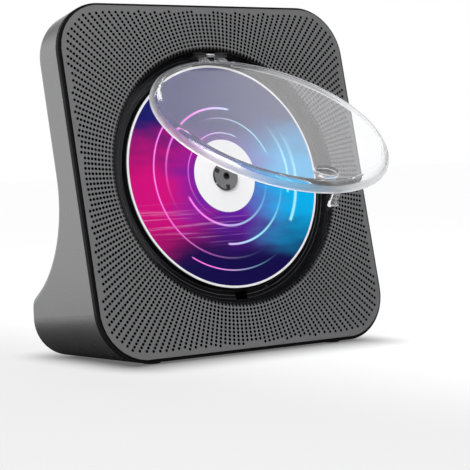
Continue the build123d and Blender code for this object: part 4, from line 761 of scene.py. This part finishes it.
class PLAYER_OT_inside(bpy.types.Operator):
    """Finish the speakers, boards and battery"""
    bl_idname = "player.inside"
    bl_label = "Inside Parts"

    def execute(self, context):
        dress(moulded("Speaker basket steel", (0.02, 0.02, 0.021), 0.4, grain=0.3, edge=0.2,
                      Metallic=0.4), "speaker_frames")
        dress(moulded("Ferrite grey", (0.06, 0.06, 0.065), 0.55, tone=0.15, grain=0.5,
                      depth=0.03, edge=0.2), "speaker_magnets")
        dress(self.paper(), "speaker_cone_left", "speaker_cone_right")
        dress(self.circuit(), "main_board", "button_board")
        dress(moulded("Cell wrap blue", (0.02, 0.10, 0.32), 0.35, tone=0.1, grain=2.0,
                      depth=0.02, edge=0.3), "battery_cell")
        dress(self.ribbon(), "ribbon_cable")
        return {"FINISHED"}

    def paper(self):
        """Pressed paper fibre of the cones."""
        material, board, shader = start_material("Cone paper", Sheen_Weight=0.1)
        fibre = board.noise(board.place(), 1400.0, 6.0, 0.75)
        board.feed(shader, Base_Color=board.mix(fibre, (0.012, 0.012, 0.012), (0.04, 0.04, 0.042)),
                   Roughness=board.scaled(fibre, 0.2, 0.7), Normal=board.bump(fibre, 0.08 * MM))
        return material

    def circuit(self):
        """Green lacquer over copper tracks."""
        material, board, shader = start_material("Circuit board", Coat_Weight=0.3)
        x, y, _ = board.split(board.place())
        lanes = board.waves(board.plus(x, y), 2.2 * MM)
        tracks = board.step(board.plus(lanes, board.noise(board.place(), 120.0)), 0.9, 1.0)
        board.feed(shader, Base_Color=board.mix(tracks, (0.004, 0.06, 0.022), (0.012, 0.14, 0.05)),
                   Roughness=board.scaled(tracks, 0.1, 0.3), Normal=board.bump(tracks, 0.05 * MM))
        return material

    def ribbon(self):
        """Flat cable with its row of conductors."""
        material, board, shader = start_material("Ribbon cable")
        wires = board.step(board.waves(board.split(board.place())[0], 1.0 * MM), -0.2, 0.2)
        board.feed(shader, Base_Color=board.mix(wires, (0.75, 0.75, 0.72), (0.35, 0.36, 0.38)),
                   Roughness=board.scaled(wires, -0.15, 0.45), Normal=board.bump(wires, 0.1 * MM))
        return material


# ---------------------------------------------------------------- stage

CAMERA_PLACE = Vector((-0.49895, -0.74116, 0.09822))      # metres
CAMERA_YAW = radians(34.805)
CAMERA_PITCH = radians(-2.383)
CAMERA_ROLL = radians(-2.362)
CAMERA_LENS = 126.635                                     # millimetres, for a 36 mm sensor


class PLAYER_OT_stage(bpy.types.Operator):
    """Set up the floor, the soft lights and the camera"""
    bl_idname = "player.stage"
    bl_label = "Studio Stage"

    floor_half = 20.0                     # metres, far past the horizon of the view
    foot_sides = (0.070, 1.6)             # half width, and how fast the shade ends past it
    foot_ends = (0.033, 1.0)              # half depth, and the same
    tucked_under = 0.018                  # how far past the rectangle the full painted shadow would end
    contact_reach = 0.067                 # width of the painted contact shadow round the foot
    mirrored_reach = 0.3                  # its width as glossy parts mirror it
    dark_room = 0.07                      # light that glossy parts mirror beside the panels

    def execute(self, context):
        stage = context.scene.player_stage
        self.floor(stage)
        self.room(context.scene, stage)
        self.softbox("key_light", stage.key, 0.7, (-0.62, -0.50, 0.85))
        self.softbox("back_light", stage.back, 0.6, (0.35, 0.75, 1.1))
        self.camera(context.scene)
        context.scene.view_settings.view_transform = "Standard"
        return {"FINISHED"}

    def floor(self, stage):
        """A pale floor with painted shadows: darker near the foot, most of all in mirrored rays,
        and darker on the left.
        """
        bm = bmesh.new()
        bmesh.ops.create_grid(bm, x_segments=1, y_segments=1, size=self.floor_half)
        mesh = bpy.data.meshes.new("studio_floor")
        bm.to_mesh(mesh)
        bm.free()
        floor = bpy.data.objects.new("studio_floor", mesh)
        bpy.context.scene.collection.objects.link(floor)
        material, board, shader = start_material("Pale floor", Roughness=0.9,
                                                 Specular_IOR_Level=0.1, Emission_Color=(1, 1, 1))
        where = board.place()
        x, y, _ = board.split(where)
        # painted shadow: the floor's glow is lower on the left of the object
        shade = board.times(board.step(x, 0.06, -0.12), board.step(board.polar(where)[0], 0.9, 0.3))
        far = board.scaled(shade, -0.2, 0.92)
        mirrored = board.times(board.add("LightPath").outputs["Is Glossy Ray"],
                               board.step(y, -0.06, -0.03))
        reach = board.scaled(mirrored, self.mirrored_reach - self.contact_reach,
                             self.contact_reach)
        gap = board.plus(self.gap_to_foot(board, x, y), self.tucked_under)
        # painted contact shadow: the glow fades near the foot, over a wider reach in mirrored rays
        near = board.step(board.calc("DIVIDE", gap, reach), 0.0, 1.0)
        seen = self.seen(board)
        # painted shade: to mirrored rays behind the front the floor is near black
        shaded = board.mix(mirrored, stage.floor, (0.01, 0.01, 0.01))
        board.feed(shader, Emission_Strength=board.times(seen, board.times(far, near)),
                   Base_Color=board.mix(seen, stage.bounce, shaded))
        mesh.materials.append(material)

    def gap_to_foot(self, board, x, y):
        """Distance on the floor from the foot's rectangle."""
        squares = []
        for along, half, pull in ((x, *self.foot_sides), (y, *self.foot_ends)):
            past = board.most(board.minus(board.calc("ABSOLUTE", along), half), 0.0)
            past = board.times(past, pull)
            squares.append(board.times(past, past))
        return board.calc("SQRT", board.plus(*squares))

    def seen(self, board):
        """1 for rays that show the stage, 0 for those that only light the object."""
        path = board.add("LightPath").outputs
        rays = board.plus(path["Is Camera Ray"], path["Is Glossy Ray"])
        return board.plus(rays, path["Is Transmission Ray"], clamp=True)

    def room(self, scene, stage):
        """White all round to the camera, with white panels in a dark room to mirrored rays."""
        world = bpy.data.worlds.new("Room light")
        world.use_nodes = True
        scene.world = world
        board = Board(world.node_tree)
        lit = board.nodes["Background"]
        board.feed(lit, Color=(1, 1, 1))
        across, toward, height = board.split(board.add("TexCoord").outputs[0])
        # a panel is white where the direction is past the second number of each of its pairs
        left = board.times(board.step(across, 0.2, -0.3),
                           board.scaled(board.step(toward, -0.5, -0.1), 0.8, 0.2))
        left = board.times(left, board.scaled(board.step(height, 0.6, 0.25), 0.85, 0.15))
        right = board.times(board.step(across, 0.53, 0.61), board.step(height, 0.4, 0.65))
        behind = board.times(board.step(toward, 0.35, 0.7), board.step(height, 0.45, 0.2))
        panels = board.scaled(board.most(left, right, behind), 1 - self.dark_room, self.dark_room)
        path = board.add("LightPath").outputs
        mirrored = board.minus(path["Is Glossy Ray"], path["Is Transmission Ray"], clamp=True)
        dimmed = board.times(board.minus(1.0, panels), mirrored)
        strength = board.add("Mix", data_type="FLOAT")
        board.put(strength.inputs[0], self.seen(board))
        board.put(strength.inputs[2], stage.sky)
        board.put(strength.inputs[3], board.minus(1.0, dimmed))
        board.feed(lit, Strength=strength)

    def softbox(self, name, power, side, place):
        """A square light that faces the disc."""
        lamp = bpy.data.lights.new(name, "AREA")
        lamp.energy = power
        lamp.size = side
        light = bpy.data.objects.new(name, lamp)
        bpy.context.scene.collection.objects.link(light)
        light.location = place
        light.rotation_euler = (Vector(place) - PANEL_ORIGIN).to_track_quat("Z", "Y").to_euler()

    def camera(self, scene):
        forward = Vector((sin(CAMERA_YAW) * cos(CAMERA_PITCH), cos(CAMERA_YAW) * cos(CAMERA_PITCH),
                          sin(CAMERA_PITCH)))
        right = Vector((cos(CAMERA_YAW), -sin(CAMERA_YAW), 0))
        up = right.cross(forward)
        level = Matrix((right, up, -forward)).transposed().to_4x4()
        data = bpy.data.cameras.new("camera")
        data.sensor_width = 36
        data.lens = CAMERA_LENS
        camera = bpy.data.objects.new("camera", data)
        scene.collection.objects.link(camera)
        camera.matrix_world = (Matrix.Translation(CAMERA_PLACE) @ level
                               @ Matrix.Rotation(CAMERA_ROLL, 4, "Z"))
        scene.camera = camera


class PLAYER_PT_panel(bpy.types.Panel):
    """Lists the steps that dress the player"""
    bl_label = "Disc Player"
    bl_idname = "PLAYER_PT_panel"
    bl_space_type = "VIEW_3D"
    bl_region_type = "UI"
    bl_category = "Disc Player"

    def draw(self, context):
        for operator, group in STEPS:
            box = self.layout.box()
            box.operator(operator.bl_idname)
            if group:
                settings = getattr(context.scene, group)
                for name in settings.bl_rna.properties.keys():
                    if name not in ("name", "rna_type"):
                        box.prop(settings, name)


STEPS = ((PLAYER_OT_grille, "player_grille"), (PLAYER_OT_cabinet, "player_body"),
         (PLAYER_OT_deck, None), (PLAYER_OT_disc, "player_disc"), (PLAYER_OT_lid, "player_lid"),
         (PLAYER_OT_controls, None), (PLAYER_OT_inside, None), (PLAYER_OT_stage, "player_stage"))
GROUPS = (("player_grille", GrilleSettings), ("player_body", BodySettings),
          ("player_disc", DiscSettings), ("player_lid", LidSettings),
          ("player_stage", StageSettings))


def register():
    for name, group in GROUPS:
        bpy.utils.register_class(group)
        setattr(bpy.types.Scene, name, PointerProperty(type=group))
    for operator, _ in STEPS:
        bpy.utils.register_class(operator)
    bpy.utils.register_class(PLAYER_PT_panel)


def unregister():
    bpy.utils.unregister_class(PLAYER_PT_panel)
    for operator, _ in reversed(STEPS):
        bpy.utils.unregister_class(operator)
    for name, group in reversed(GROUPS):
        delattr(bpy.types.Scene, name)
        bpy.utils.unregister_class(group)


def main():
    register()
    for operator, _ in STEPS:
        getattr(bpy.ops.player, operator.bl_idname.split(".")[1])()


if __name__ == "__main__":
    main()
